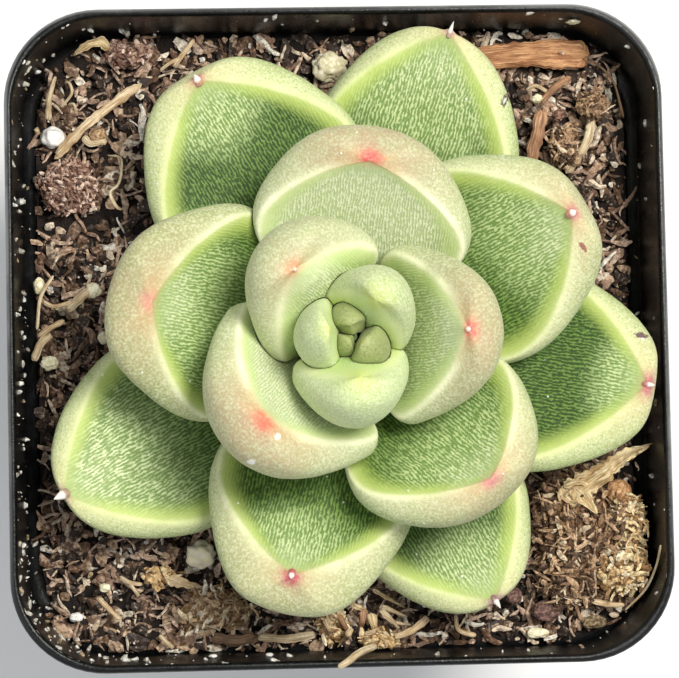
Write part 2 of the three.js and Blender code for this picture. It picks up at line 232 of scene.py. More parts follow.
def combine(piece, other, operation="DIFFERENCE"):  # joins or cuts once the piece is settled
    modifier = piece.modifiers.new("combine", "BOOLEAN")
    modifier.operation = operation
    modifier.solver = "MANIFOLD"
    modifier.object = other


def grow(name, tree, values, mesh=None):  # an object whose mesh a tree makes
    piece = newObject(name, mesh or bpy.data.meshes.new(name))
    modifier = piece.modifiers.new(tree.name, "NODES")
    modifier.node_group = tree
    for item in tree.interface.items_tree:
        if item.in_out == "INPUT" and item.name in values:
            modifier[item.identifier] = values[item.name]
    return piece


def settle(pieces):  # turns what the modifiers make into plain meshes
    graph = bpy.context.evaluated_depsgraph_get()
    made = [bpy.data.meshes.new_from_object(piece.evaluated_get(graph)) for piece in pieces]
    for piece, mesh in zip(pieces, made):
        piece.modifiers.clear()
        old = piece.data
        piece.data = mesh
        mesh.name = piece.name
        if not old.users:
            bpy.data.meshes.remove(old)


def newMaterial(name, roughness=0.5):
    material = bpy.data.materials.new(name)
    material.use_nodes = True
    shader = material.node_tree.nodes["Principled BSDF"]
    shader.inputs["Roughness"].default_value = roughness
    return material, material.node_tree, shader


def objectPlace(tree, scale=1000.0):  # the object's own coordinates, in millimetres
    place = wire(addNode(tree, "ShaderNodeTexCoord"), "Object")
    return vectorMaths("SCALE", place, scale=scale)


def bump(shader, height, distance):  # height in shares of distance, distance in millimetres
    inputs = {"Strength": 1.0, "Distance": distance * mm, "Height": height}
    feed(shader.inputs["Normal"], wire(addNode(shader.id_data, "ShaderNodeBump", inputs)))


camera = {"width": 679, "height": 678, "distance": 200.0, "aim": (-0.04, -0.37, 50.0),
          "tilt": 3.0, "pan": -2.7, "roll": -1.05, "pixelsPerMm": 11.851, "sensor": 36.0}
lights = {
    "skyColour": "f4f6f8", "skyStrength": 0.53, "aimHeight": 50.0,
    "key": {"place": (102, 75, 335), "size": 120, "power": 1.07, "colour": "fffcf4"},
    "fill": {"place": (-190, -110, 260), "size": 220, "power": 0.14, "colour": "f6f9ff"},
}


def makeCamera(values):
    turn = (Matrix.Rotation(math.radians(values["tilt"]), 3, "X")
            @ Matrix.Rotation(math.radians(values["pan"]), 3, "Y")
            @ Matrix.Rotation(math.radians(values["roll"]), 3, "Z"))
    place = Vector(values["aim"]) + turn @ Vector((0, 0, values["distance"]))
    lens = values["pixelsPerMm"] * values["distance"] / values["width"] * values["sensor"]
    data = bpy.data.cameras.new("camera")
    data.sensor_width = values["sensor"]
    data.lens = lens
    data.clip_start = 0.01
    data.clip_end = 5
    item = newObject("camera", data)
    item.matrix_world = Matrix.Translation(place * mm) @ turn.to_4x4()
    bpy.context.scene.camera = item


def makeLight(name, values):
    data = bpy.data.lights.new(name, "AREA")
    data.shape = "DISK"
    data.size = values["size"] * mm
    data.energy = values["power"]
    data.color = linear(values["colour"])[:3]
    place = Vector(values["place"]) * mm
    facing = (place - Vector((0, 0, lights["aimHeight"])) * mm).to_track_quat("Z", "Y")
    newObject(name, data).matrix_world = Matrix.Translation(place) @ facing.to_matrix().to_4x4()


def makeFloor():
    mesh = bpy.data.meshes.new("floor")
    reach = 2.0
    mesh.from_pydata([(-reach, -reach, -mm), (reach, -reach, -mm), (reach, reach, -mm), (-reach, reach, -mm)],
                     [], [(0, 1, 2, 3)])
    floor = newObject("floor", mesh)
    material, tree, shader = newMaterial("paleFloor", 0.9)
    grain = cloud(objectPlace(tree), 0.05, 3.0)
    feed(shader.inputs["Base Color"], mixed("f4f4f4", "fbfbfb", grain))
    mesh.materials.append(material)


world = bpy.data.worlds.new("studio")
world.use_nodes = True
world.node_tree.nodes["Background"].inputs["Color"].default_value = linear(lights["skyColour"])
world.node_tree.nodes["Background"].inputs["Strength"].default_value = lights["skyStrength"]
bpy.context.scene.world = world
bpy.context.scene.view_settings.view_transform = "Standard"
makeCamera(camera)
makeLight("key", lights["key"])
makeLight("fill", lights["fill"])
makeFloor()
print("camera, light and floor made")


stem = {"x": 0.3, "y": -0.9, "root": 31.0, "apex": 63.6, "foot": 2.6, "rootSpread": 5.5}
attach = {"lowest": 46.8, "rise": 0.62, "radius": 2.9, "radiusFall": 0.105}
leafShape = {"baseWidth": 0.3, "baseThickness": 0.45, "ridgeWidth": 0.945, "crowding": 1.5,
             "rows": 84, "sides": 104, "faceShare": 0.44, "pressGap": 0.09, "firstInner": 10, "firstBud": 13}
mature = {"Widest": 0.71, "Blunt": 2.5, "Ridge Blunt": 3.3, "Ridge Taper": 0.92, "Fill": -0.03,
          "Ridge Softness": 9, "Sharp Point": 0.7}
inner = {"Widest": 0.4, "Blunt": 2.5, "Ridge Blunt": 2.6, "Ridge Taper": 0.95, "Fill": 0.12,
         "Ridge Softness": 16, "Sharp Point": 0.7}
bud = {**inner, "Fill": 0.7, "Ridge Softness": 34, "Sharp Point": -2.0}

# turn, reach and tip height of the point, width, thickness, bow, roll, sideways bend, and the point's spine
leafTable = [
    (299.5, 24.9, 50.6, 19.0, 5.4, 0.3, 0.0, 0.0, 0.9),
    (70.2, 27.7, 52.0, 22.1, 5.6, 0.3, -8.0, -0.7, 1.5),
    (207.0, 26.5, 51.0, 20.9, 5.6, 0.3, 2.0, -0.4, 0.9),
    (351.2, 25.5, 53.0, 21.8, 5.6, 1.7, -9.0, 0.3, 0.6),
    (118.2, 25.1, 53.0, 23.0, 6.0, 1.9, 1.0, -0.6, 0.9),
    (255.4, 19.5, 56.0, 20.8, 6.8, 4.7, 2.0, 0.3, 0.9),
    (28.6, 21.2, 57.0, 21.5, 6.6, 2.1, 0.0, 0.4, 0.9),
    (168.0, 16.1, 59.0, 21.9, 6.7, 4.5, -4.0, -0.5, 0.3),
    (314.2, 15.9, 60.0, 20.2, 6.7, 1.2, -8.0, -0.3, 0.3),
    (82.4, 14.3, 61.0, 21.6, 6.6, 2.5, -3.0, -0.2, 0.3),
    (222.6, 9.4, 64.0, 17.4, 6.2, 2.0, 1.0, -0.3, 0.3),
    (2.3, 9.1, 64.5, 15.5, 5.3, 1.5, 0.0, 0.2, 0.5),
    (137.5, 6.8, 65.2, 13.4, 5.2, 1.5, -1.0, -0.9, 0.3),
    (277.0, 3.3, 66.8, 10.5, 4.1, 1.2, -2.0, -0.3, 0.1),
    (56.0, 3.1, 67.0, 8.9, 3.4, 1.2, -2.0, -0.2, 0.1),
    (190.0, 1.75, 66.8, 7.2, 2.4, 0.6, 0.0, 0.0, 0.1),
    (325.0, 0.75, 65.7, 5.6, 2.0, 0.5, 0.0, 0.0, 0.1),
    (100.0, 0.75, 65.3, 4.5, 1.7, 0.5, 0.0, 0.0, 0.1),
    (222.0, 0.3, 64.8, 3.4, 1.2, 0.3, 0.0, 0.0, 0.1),
]
leafFill = {12: 0.35, 15: 1.3, 16: 1.0, 17: 1.0, 18: 1.8}
leafShift = {12: -0.86, 15: -0.84}  # how far the point lies beside the leaf's own line


def leafTree():
    tree, given = newTree("growLeaf", {
        "Rows": 84, "Sides": 104, "Face Share": 0.44, "Turn": 0.0, "Root": 2.9, "Root Height": 46.8,
        "Length": 20.0, "Climb": 0.0, "Curl": 0.4, "Width": 20.0, "Thickness": 6.0, "Bow": 1.0, "Roll": 0.0,
        "Side Bend": 0.0, "Shift": 0.0, "Cup": 0.1, "Spine": 0.5, "Widest": 0.7, "Blunt": 2.5,
        "Ridge Blunt": 3.3, "Ridge Taper": 0.92, "Fill": 0.0, "Fill Limit": 0.6, "Ridge Softness": 9,
        "Sharp Point": 0.7, "Waviness": 0.1, "Seed": 0.0, "Material": None,
    })
    rows, sides, faceShare = given("Rows"), given("Sides"), given("Face Share")
    line = geo(tree, "CurvePrimitiveLine", {"End": (0, 0, 1)})
    spine = geo(tree, "ResampleCurve", {"Curve": line, "Count": rows + 1})
    ring = geo(tree, "CurvePrimitiveCircle", {"Resolution": sides, "Radius": 0.1})
    tube = tubeAlong(spine, ring)

    index = geo(tree, "InputIndex")
    row = ((index + 0.5) / sides).maths("FLOOR")
    side = index - row * sides
    share = 1 - (1 - row / rows) ** 2  # rows crowd towards the point
    around = side / sides * 2 - 1
    away = abs(around)
    hand = around.maths("SIGN")
    onBack = away.maths("GREATER_THAN", faceShare + 0.0001)
    crowding = leafShape["crowding"]
    faceReach = 1 - (1 - lowest(away / faceShare, 1)) ** crowding  # and sides towards the ridge
    backReach = highest((away - faceShare) / (1 - faceShare), 0) ** crowding

    opened = sine(lowest(share / given("Widest"), 1) * (math.pi / 2)) ** 1.15
    rise = blend(leafShape["baseWidth"], 1, opened)
    half = given("Width") / 2
    hull = half * rise * root(1 - share ** given("Blunt"))
    taper = highest(1 - share ** given("Ridge Blunt"), 0) ** given("Ridge Taper")
    ridge = lowest(half * leafShape["ridgeWidth"] * rise * taper, hull * 0.97)
    fatten = blend(leafShape["baseThickness"], 1, sine(lowest(share / 0.6, 1) * (math.pi / 2)))
    thick = given("Thickness") * fatten * root(1 - share ** 5)

    lean = (ridge / hull).maths("ARCCOSINE")
    lift = sine(lean)
    depth = thick / (lift + 1)
    angle = blend(-lean, math.pi / 2, backReach)
    across = hand * blend(ridge * faceReach, hull * cosine(angle), onBack)
    filled = lowest(given("Fill") * thick, ridge * given("Fill Limit"))
    outwards = blend(filled * (1 - faceReach ** 2), -(depth * (lift + sine(angle))), onBack)
    swell = onBack * (1 - (1 - (sine(angle) + lift) / (lift + 1)) ** 3)
    bow = given("Bow") * 1.25 * share ** 5 * root(1 - share ** 8)
    point = given("Spine") * (-((hull / 0.42) ** 2)).maths("EXPONENT")
    along = given("Length") * share + bow * swell + point

    roll = given("Roll") * (math.pi / 180) * lowest(share * 1.6, 1)
    middle = thick * 0.4
    rolledAcross = across * cosine(roll) - (outwards + middle) * sine(roll)
    rolledOut = across * sine(roll) + (outwards + middle) * cosine(roll) - middle
    cupped = rolledOut + given("Cup") * rolledAcross ** 2 / half
    sideways = rolledAcross + given("Side Bend") * sine(share * math.pi) + given("Shift") * share
    climb = given("Climb")
    bend = given("Curl") / given("Length")
    climbHere = climb + bend * along
    radial = given("Root") + (sine(climbHere) - sine(climb)) / bend - cupped * sine(climbHere)
    height = given("Root Height") - (cosine(climbHere) - cosine(climb)) / bend + cupped * cosine(climbHere)
    turn = given("Turn") * (math.pi / 180)
    x = radial * cosine(turn) - sideways * sine(turn) + stem["x"]
    y = radial * sine(turn) + sideways * cosine(turn) + stem["y"]
    shaped = moveTo(tube, vectorMaths("SCALE", vector(x, y, height), scale=mm))

    # what the skin's pattern goes by: the place on the leaf, and how far the ridge and the point are
    place = geo(tree, "InputPosition")
    last = rows * sides
    sampled = {"Geometry": shaped, "Value": place, "Index": last}
    pointPlace = geo(tree, "SampleIndex", sampled, data_type="FLOAT_VECTOR")
    toPoint = vectorMaths("DISTANCE", place, pointPlace) * 1000
    rim = blend(-(ridge * (1 - faceReach)), (hull + depth) * 0.75 * backReach, onBack)
    for name, value in (("skin", vector(along, across, 0.0)), ("ridge", vector(rim, toPoint, 0.0))):
        shaped = store(shaped, name, value, data_type="FLOAT_VECTOR")
    merged = geo(tree, "MergeByDistance", {"Geometry": shaped, "Distance": 0.0002 * mm})

    # rounds the ridge, and then waves the whole skin a little
    keptRim, keptPoint, unused = parts(stored(tree, "ridge", "FLOAT_VECTOR"))
    sharp = given("Sharp Point")
    near = fade(abs(keptRim), 2.2, 0.3) * fade(keptPoint, sharp, sharp + 0.9)
    blurred = {"Value": place, "Iterations": given("Ridge Softness"), "Weight": near}
    softened = geo(tree, "BlurAttribute", blurred, data_type="FLOAT_VECTOR")
    rounded = moveTo(merged, softened)
    spot = vectorMaths("ADD", vectorMaths("SCALE", place, scale=1000), vector(given("Seed"), 0.0, 0.0))
    swells = (cloud(spot, 0.16, 1.0) - 0.5) * given("Waviness") * 2
    waves = swells + (cloud(spot, 0.7, 1.0) - 0.5) * given("Waviness") * 0.5
    offset = vectorMaths("SCALE", geo(tree, "InputNormal"), scale=waves * mm)
    waved = geo(tree, "SetPosition", {"Geometry": rounded, "Offset": offset})
    endTree(tree, geo(tree, "FlipFaces", {"Mesh": waved}), given("Material"))
    return tree


def leafValues(index):
    turn, reach, tip, width, thick, bow, roll, side, spine = leafTable[index]
    young = index >= leafShape["firstInner"]
    form = bud if index >= leafShape["firstBud"] else inner if young else mature
    rootReach = attach["radius"] - attach["radiusFall"] * index
    rootHeight = attach["lowest"] + attach["rise"] * index
    curl = math.radians(27 if young else 20 + 1.6 * index)
    cup = 0.45 if form is bud else 0.28 if young else 0.06 + 0.013 * index
    chord = math.hypot(reach - rootReach, tip - rootHeight)
    chordClimb = math.atan2(tip - rootHeight, reach - rootReach)
    length = chord * (curl / 2) / math.sin(curl / 2)
    small = min(1.0, width / 12)
    return {
        **form, "Fill": leafFill.get(index, form["Fill"]), "Fill Limit": 2.0 if width < 5 else 0.6,
        "Turn": turn, "Root": rootReach, "Root Height": rootHeight, "Length": length,
        "Climb": chordClimb - curl / 2, "Curl": curl, "Width": width, "Thickness": thick, "Bow": bow,
        "Roll": roll, "Side Bend": side, "Shift": leafShift.get(index, 0.0), "Cup": cup,
        "Spine": spine * 0.25, "Seed": index * 17.3, "Rows": leafShape["rows"] if small == 1 else 56,
        "Sides": leafShape["sides"] if small == 1 else 72, "Face Share": leafShape["faceShare"],
        "Waviness": 0.11 * small,
    }


def swollenMesh(mesh, distance):
    count = len(mesh.vertices)
    places = np.empty(count * 3, np.float32)
    normals = np.empty(count * 3, np.float32)
    mesh.vertices.foreach_get("co", places)
    mesh.vertex_normals.foreach_get("vector", normals)
    bigger = mesh.copy()
    bigger.vertices.foreach_set("co", places + normals * distance * mm)
    bigger.update()
    return bigger


def largestPart(mesh):  # drops every piece of a mesh but the one with the most faces
    shape = bmesh.new()
    shape.from_mesh(mesh)
    unseen = set(shape.faces)
    best = []
    while unseen:
        group = [unseen.pop()]
        for face in group:
            for edge in face.edges:
                for other in edge.link_faces:
                    if other in unseen:
                        unseen.discard(other)
                        group.append(other)
        best = max(best, group, key=len)
    keep = set(best)
    bmesh.ops.delete(shape, geom=[face for face in shape.faces if face not in keep], context="FACES")
    shape.to_mesh(mesh)
    shape.free()


def overlaps(first, second):
    lows, highs = np.array(first)[0], np.array(first)[1]
    return bool(np.all(lows < np.array(second)[1]) and np.all(highs > np.array(second)[0]))


def meshBox(mesh):
    places = np.empty(len(mesh.vertices) * 3, np.float32)
    mesh.vertices.foreach_get("co", places)
    places = places.reshape(-1, 3)
    return places.min(axis=0), places.max(axis=0)


def pressLeaves(leaves, stemPiece):  # each older leaf makes room for the younger ones that it touches
    cutters = [newObject("cutter_" + piece.name, swollenMesh(piece.data, leafShape["pressGap"]))
               for piece in (*leaves, stemPiece)]
    boxes = [meshBox(cutter.data) for cutter in cutters]
    for index, leaf in enumerate(leaves):
        for other in range(index + 1, len(cutters)):
            if overlaps(boxes[index], boxes[other]):
                combine(leaf, cutters[other])
    settle(leaves)
    for cutter in cutters:
        mesh = cutter.data
        bpy.data.objects.remove(cutter)
        bpy.data.meshes.remove(mesh)
    for leaf in leaves:
        largestPart(leaf.data)


def toUvMaps(mesh, names):  # moves stored point vectors into UV maps, which booleans and exports keep
    corners = np.empty(len(mesh.loops), np.int32)
    mesh.loops.foreach_get("vertex_index", corners)
    for name in names:
        kept = mesh.attributes[name]
        values = np.empty(len(mesh.vertices) * 3, np.float32)
        kept.data.foreach_get("vector", values)
        mesh.attributes.remove(kept)
        layer = mesh.uv_layers.new(name=name, do_init=False)
        layer.data.foreach_set("uv", values.reshape(-1, 3)[corners, :2].ravel())


def stackRings(name, rings):  # a closed mesh through a stack of rings with equal counts
    count = len(rings[0])
    places = [point for ring in rings for point in ring]
    faces = []
    for row in range(len(rings) - 1):
        for i in range(count):
            j = (i + 1) % count
            faces.append((row * count + i, row * count + j, (row + 1) * count + j, (row + 1) * count + i))
    faces.append(tuple(reversed(range(count))))
    last = (len(rings) - 1) * count
    faces.append(tuple(range(last, last + count)))
    mesh = bpy.data.meshes.new(name)
    mesh.from_pydata([(x * mm, y * mm, z * mm) for x, y, z in places], [], faces)
    return mesh


def facingOut(mesh):
    shape = bmesh.new()
    shape.from_mesh(mesh)
    bmesh.ops.recalc_face_normals(shape, faces=shape.faces)
    shape.to_mesh(mesh)
    shape.free()


# the skin's colours by age: gaps and lines near the point, further in and at the base, at the shade's places;
# the darkening towards the base is partly the leaf's own colour and partly painted shade from the leaves
# above
leafClasses = {
    "outer": {"edge": 0.6, "gaps": ("9bb170", "76924e", "2e4914"), "lines": ("dee7b8", "cedca2", "708f44"),
              "shade": (1.5, 7.0, 13.5), "lime": "bed26a", "ridge": "eff2b8", "band": "c6d094",
              "far": "94ad62", "grain": "e8ecc4", "pore": "86985a", "streaks": 0.9, "pitch": 0.29},
    "middle": {"edge": 0.65, "gaps": ("9fb476", "708d49", "355118"), "lines": ("e1e8be", "c5d698", "769545"),
               "shade": (1.2, 6.0, 11.0), "lime": "bccf6a", "ridge": "f5f5cd", "band": "c4ca96",
               "far": "90a868", "grain": "e8ebc8", "pore": "87985c", "streaks": 0.9, "pitch": 0.28},
    "inner": {"edge": 1.0, "gaps": ("bac798", "9db370", "617d32"), "lines": ("edf0d2", "dce4b4", "9ab266"),
              "shade": (1.5, 7.0, 11.0), "lime": "c3d688", "ridge": "f6f6d2", "band": "c4cc9e",
              "far": "acbf84", "grain": "eaeece", "pore": "93a569", "streaks": 0.8, "pitch": 0.24},
    "bud": {"edge": 0.8, "gaps": ("bdd292", "aeca80", "97b263"), "lines": ("dce8ba", "d0e0a6", "bcd08a"),
            "shade": (1.5, 4.0, 6.0), "lime": "c9da84", "ridge": "e4ecb8", "band": "c4d49c", "far": "b8ca90",
            "grain": "e8efce", "pore": "96ac6c", "streaks": 0.5, "pitch": 0.24},
    # the hearts' colours are darkened below the buds' as painted shade, for their recessed place in the
    # rosette's centre
    "heart": {"edge": 0.5, "gaps": ("9aa668", "7d8b4e", "525f2e"), "lines": ("a8b478", "8f9c58", "6c7a40"),
              "shade": (0.3, 1.4, 2.6), "lime": "949f58", "ridge": "a8b26c", "band": "9ba56a",
              "far": "87935a", "grain": "b2bb82", "pore": "667240", "streaks": 0.3, "pitch": 0.24},
}
# each leaf's point and back: blush and spot are amounts, sizes and the spine are in millimetres; the last two
# numbers add painted shade to each leaf's face and band, partly as their own darker colour
markNames = ("class", "blush", "spot", "spotColour", "spotSize", "spine", "depth", "dullShade")
leafMarks = [dict(zip(markNames, row)) for row in (
    ("outer", 0.2, 0.85, "84486a", 0.9, (0.9, 0.55), 1.5, 0.0),
    ("outer", 0.35, 0.7, "b06a80", 0.75, (1.15, 0.42), 0.9, 0.0),
    ("outer", 0.2, 0.75, "94566e", 0.85, (1.05, 0.85), 1.0, 0.0),
    ("outer", 0.4, 0.9, "b8506c", 1.1, (0.7, 0.5), 2.1, 0.0),
    ("outer", 0.3, 0.75, "b85f68", 0.8, (0.7, 0.7), 1.7, 0.0),
    ("middle", 0.4, 0.95, "b8465c", 0.9, (0.5, 0.6), 1.35, 0.45),
    ("middle", 0.55, 0.85, "c06470", 0.8, (0.5, 0.7), 1.0, 0.0),
    ("middle", 0.7, 0.7, "d98a80", 0.95, (0.0, 0.0), 1.0, 0.75),
    ("middle", 0.65, 0.75, "d97e88", 0.95, (0.0, 0.0), 1.0, 0.0),
    ("inner", 0.95, 0.95, "db5a5c", 0.95, (0.0, 0.0), 0.35, 0.3),
    ("inner", 0.9, 0.85, "dc6c58", 1.05, (0.0, 0.0), 0.2, 0.3),
    ("inner", 0.75, 0.85, "dc6260", 0.85, (0.35, 0.5), 1.0, 0.6),
    ("inner", 0.45, 0.7, "dc8c66", 0.85, (0.25, 0.4), 1.0, 0.15),
    ("bud", 0.0, 0.6, "ccd455", 1.7, (0.0, 0.0), 1.0, 0.0),
    ("bud", 0.0, 0.6, "c8d050", 1.5, (0.0, 0.0), 1.0, 0.25),
    ("bud", 0.0, 0.55, "c4c850", 1.1, (0.0, 0.0), 1.0, 0.0),
    ("heart", 0.0, 0.4, "8a6f38", 0.4, (0.0, 0.0), 1.0, 0.0),
    ("heart", 0.0, 0.2, "848444", 0.4, (0.0, 0.0), 1.0, 0.0),
    ("heart", 0.0, 0.2, "848444", 0.3, (0.0, 0.0), 1.0, 0.0),
)]
leafScars = {  # each mark's place along and across its leaf, its length, width and colour
    1: ((21.6, -6.15, 0.6, 0.26, "4e3c42"), (21.6, -6.15, 0.28, 0.12, "e8e2d8")),
    3: ((22.2, 4.05, 0.6, 0.32, "5c3c48"), (22.4, 3.75, 0.16, 0.13, "f2ece6")),
    6: ((19.5, -2.9, 0.2, 0.55, "96564e"),),
    10: ((13.5, 1.7, 0.28, 0.28, "fdfbf4"),),
}
skin = {"blushColour": "b8967a", "wingColour": "dca26c", "dullShadeColour": "97a066", "blushSpread": 6.0,
        "tipColour": "f8efe6", "speckColour": "f7fae8", "relief": 0.04, "roughness": 0.5, "sheen": 0.12,
        "subsurface": 0.12}


def uvParts(tree, name):
    made = addNode(tree, "ShaderNodeUVMap", uv_map=name)
    return parts(wire(made))[:2]


def bell(value, centre, width):  # 1 at centre, falling off on both sides
    return (-(((value - centre) / width) ** 2)).maths("EXPONENT")


def leafSkin(index):
    marks = leafMarks[index]
    look = leafClasses[marks["class"]]
    material, tree, shader = newMaterial("leafSkin%02d" % (index + 1), skin["roughness"])
    along, across = uvParts(tree, "skin")
    rim, toPoint = uvParts(tree, "ridge")
    place = objectPlace(tree)
    seed = index * 7.7

    # light wavy streaks that run along the upper face
    wander = cloud(vector(along * 0.3, across * 0.3, seed), 1.0, 2.0) - 0.5
    wiggle = cloud(vector(along * 1.5, across * 1.5, seed + 5), 1.0, 1.0) - 0.5
    stripes = sine(across * (2 * math.pi / look["pitch"]) + wander * 15 + wiggle * 7)
    broken = cloud(vector(along * 2.6, across * 4.2, seed + 3), 1.0, 2.0, 0.6) - 0.5
    streaks = fade(stripes * 0.42 + broken * 3.6, -0.4, 0.6)
    grain = fade(cloud(place, 4.2, 3.0, 0.65), 0.38, 0.66)
    pores = fade(cloud(place, 5.6, 2.0, 0.6), 0.54, 0.68)
    patches = cloud(place, 0.22, 2.0)

    onFace = fade(rim, 0.35, -0.45)
    margin = fade(rim, -2.5, -0.4)
    # painted shade, partly the leaf's own colour: the face darkens towards its base, and each leaf's depth
    # sets how soon, sooner on leaves in their neighbours' shadow and later on well-lit ones
    inwards = toPoint * marks["depth"] + (patches - 0.5) * 5
    first, second, third = look["shade"]
    gaps, lines = [mixed(mixed(near, further, fade(inwards, first, second)), base,
                         fade(inwards, second, third))
                   for near, further, base in (look["gaps"], look["lines"])]
    shown = streaks * blend(1.0, 0.45, margin) * blend(0.35, 1.0, fade(toPoint, 0.6, 3.5))
    face = mixed(gaps, lines, shown * look["streaks"])
    face = mixed(face, look["lime"], margin * blend(0.25, 0.75, fade(toPoint, 1.5, 5.0)))
    band = mixed(look["band"], look["far"], fade(rim + (patches - 0.5) * 3, 0.4, 2.8) * 0.85)
    # painted shade, partly the band's own duller olive: each leaf's band is mixed towards olive by its own
    # amount, most on leaves that face away from the light
    band = mixed(band, skin["dullShadeColour"], (patches + 0.5) * marks["dullShade"])
    band = mixed(mixed(band, look["grain"], grain * 0.55), look["pore"], pores * 0.6)
    colour = mixed(band, face, onFace)

    flecked = blend(0.55, 1.0, fade(cloud(place, 0.5, 3.0), 0.3, 0.6))
    blushed = fade(rim, -0.6, 0.6) * bell(toPoint, 0.0, skin["blushSpread"]) * flecked
    colour = mixed(colour, skin["blushColour"], blushed * blend(1.0, 0.55, grain) * marks["blush"])
    lengths = cloud(vector(along * 0.35, across * 0.35, seed + 8), 1.0, 2.0)
    uneven = blend(0.55, 1.1, fade(lengths, 0.35, 0.65))
    # the pale ridge line is partly the margin's own pale colour and partly a painted highlight along the
    # crest
    edge = (bell(rim, 0.0, 0.3) * 0.6 + bell(rim, -0.2, 0.8) * 0.26) * uneven
    bright = lowest(edge, 1) * blend(0.3, 1.0, fade(toPoint, 0.8, 4.0)) * look["edge"]
    colour = mixed(colour, look["ridge"], bright)
    size = marks["spotSize"]
    spot = bell(toPoint, 0.0, size) * fade(rim, -0.6, 0.2) + bell(toPoint, size * 0.4, size * 0.55) * 0.4
    if marks["class"] == "bud":
        spot = bell(toPoint, 0.0, size)
    mottled = blend(0.45, 1.25, cloud(place, 2.6, 3.0)) * blend(1.0, 0.7, grain)
    wings = bell(rim, 0.15, 0.6) * bell(toPoint, size, size * 2.6) * mottled * marks["blush"]
    colour = mixed(colour, skin["wingColour"], wings * 0.55)
    colour = mixed(colour, marks["spotColour"], lowest(spot * mottled, 1) * marks["spot"])
    colour = mixed(colour, skin["tipColour"], fade(toPoint, 0.02, -0.25) * 0.9)
    for alongAt, acrossAt, length, width, scar in leafScars.get(index, ()):
        distance = root(((along - alongAt) / length) ** 2 + ((across - acrossAt) / width) ** 2)
        colour = mixed(colour, scar, fade(distance + (grain - 0.5) * 0.5, 1.1, 0.6) * 0.9)

    height = shown * onFace * look["streaks"] + grain * 0.5 * (1 - onFace)
    if marks["class"] not in ("bud", "heart"):
        cells = addNode(tree, "ShaderNodeTexVoronoi", {"Vector": place, "Scale": 0.8})
        chosen = parts(wire(cells, "Color"))[0].maths("GREATER_THAN", 0.86)
        speck = fade(wire(cells, "Distance"), 0.11, 0.06) * chosen
        colour = mixed(colour, skin["speckColour"], speck * 0.8)
        height = height + speck * 1.2
    feed(shader.inputs["Base Color"], colour)
    feed(shader.inputs["Roughness"], blend(skin["roughness"] + 0.08, skin["roughness"] - 0.1, shown * onFace))
    fixed = {"Specular IOR Level": 0.4, "Sheen Weight": skin["sheen"], "Sheen Roughness": 0.45,
             "Sheen Tint": linear("f2f7dc"), "Subsurface Weight": skin["subsurface"],
             "Subsurface Radius": (0.9, 1.0, 0.35), "Subsurface Scale": 1.2 * mm}
    for name, value in fixed.items():
        shader.inputs[name].default_value = value
    bump(shader, height, skin["relief"])
    return material


def addSpine(leaf, index):  # the small pale spine on a leaf's point, grown into the leaf
    length, width = leafMarks[index]["spine"]
    if not length:
        return None
    turn, reach, tip = leafTable[index][:3]
    values = leafValues(index)
    climb = values["Climb"] + values["Curl"] + 0.25
    outwards = Vector((math.cos(math.radians(turn)), math.sin(math.radians(turn)), 0))
    ahead = (outwards * math.cos(climb) + Vector((0, 0, math.sin(climb)))).normalized()
    side = ahead.cross(Vector((0, 0, 1))).normalized()
    over = side.cross(ahead)
    beside = Vector((-outwards.y, outwards.x, 0)) * values["Shift"]
    foot = Vector((stem["x"], stem["y"], tip)) + outwards * reach + beside
    rings, sides, rows = [], 14, 12
    for row in range(rows + 1):
        share = row / rows
        along = blend(-0.45, length, share)
        radius = width / 2 * (1 - max(0, along / length) ** 1.4 * 0.93) * (1 if row else 0.7)
        rings.append([foot + ahead * along + (side * math.cos(a) + over * math.sin(a)) * radius
                      for a in [2 * math.pi * i / sides for i in range(sides)]])
    mesh = stackRings("spine", rings)
    for name, values in (("skin", (0.0, 0.0)), ("ridge", None)):
        layer = mesh.uv_layers.new(name=name, do_init=False)
        for loop in mesh.loops:
            away = (Vector(mesh.vertices[loop.vertex_index].co) * 1000 - foot).dot(ahead)
            layer.data[loop.index].uv = values or (0.1, -max(away, 0.0))
    facingOut(mesh)
    mesh.materials.append(leaf.data.materials[0])
    spine = newObject("spine", mesh)
    combine(leaf, spine, "UNION")
    return spine


def makeLeaves():
    tree = leafTree()
    leaves = []
    for index in range(len(leafTable)):
        values = {**leafValues(index), "Material": leafSkin(index)}
        leaves.append(grow("leafBlade%02d" % (index + 1), tree, values))
    settle(leaves)
    for leaf in leaves:
        toUvMaps(leaf.data, ("skin", "ridge"))
    spines = [addSpine(leaf, index) for index, leaf in enumerate(leaves)]
    settle(leaves)
    for spine in filter(None, spines):
        bpy.data.objects.remove(spine)
    return leaves


def mergedCopy(node):  # a CAD node's mesh with its loose triangles joined
    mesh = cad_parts[node].data.copy()
    shape = bmesh.new()
    shape.from_mesh(mesh)
    bmesh.ops.remove_doubles(shape, verts=shape.verts, dist=0.0001 * mm)
    shape.to_mesh(mesh)
    shape.free()
    return mesh


def addPiece(piece, slot, *nodes):
    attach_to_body(piece, "root")
    if nodes:
        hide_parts(*nodes)


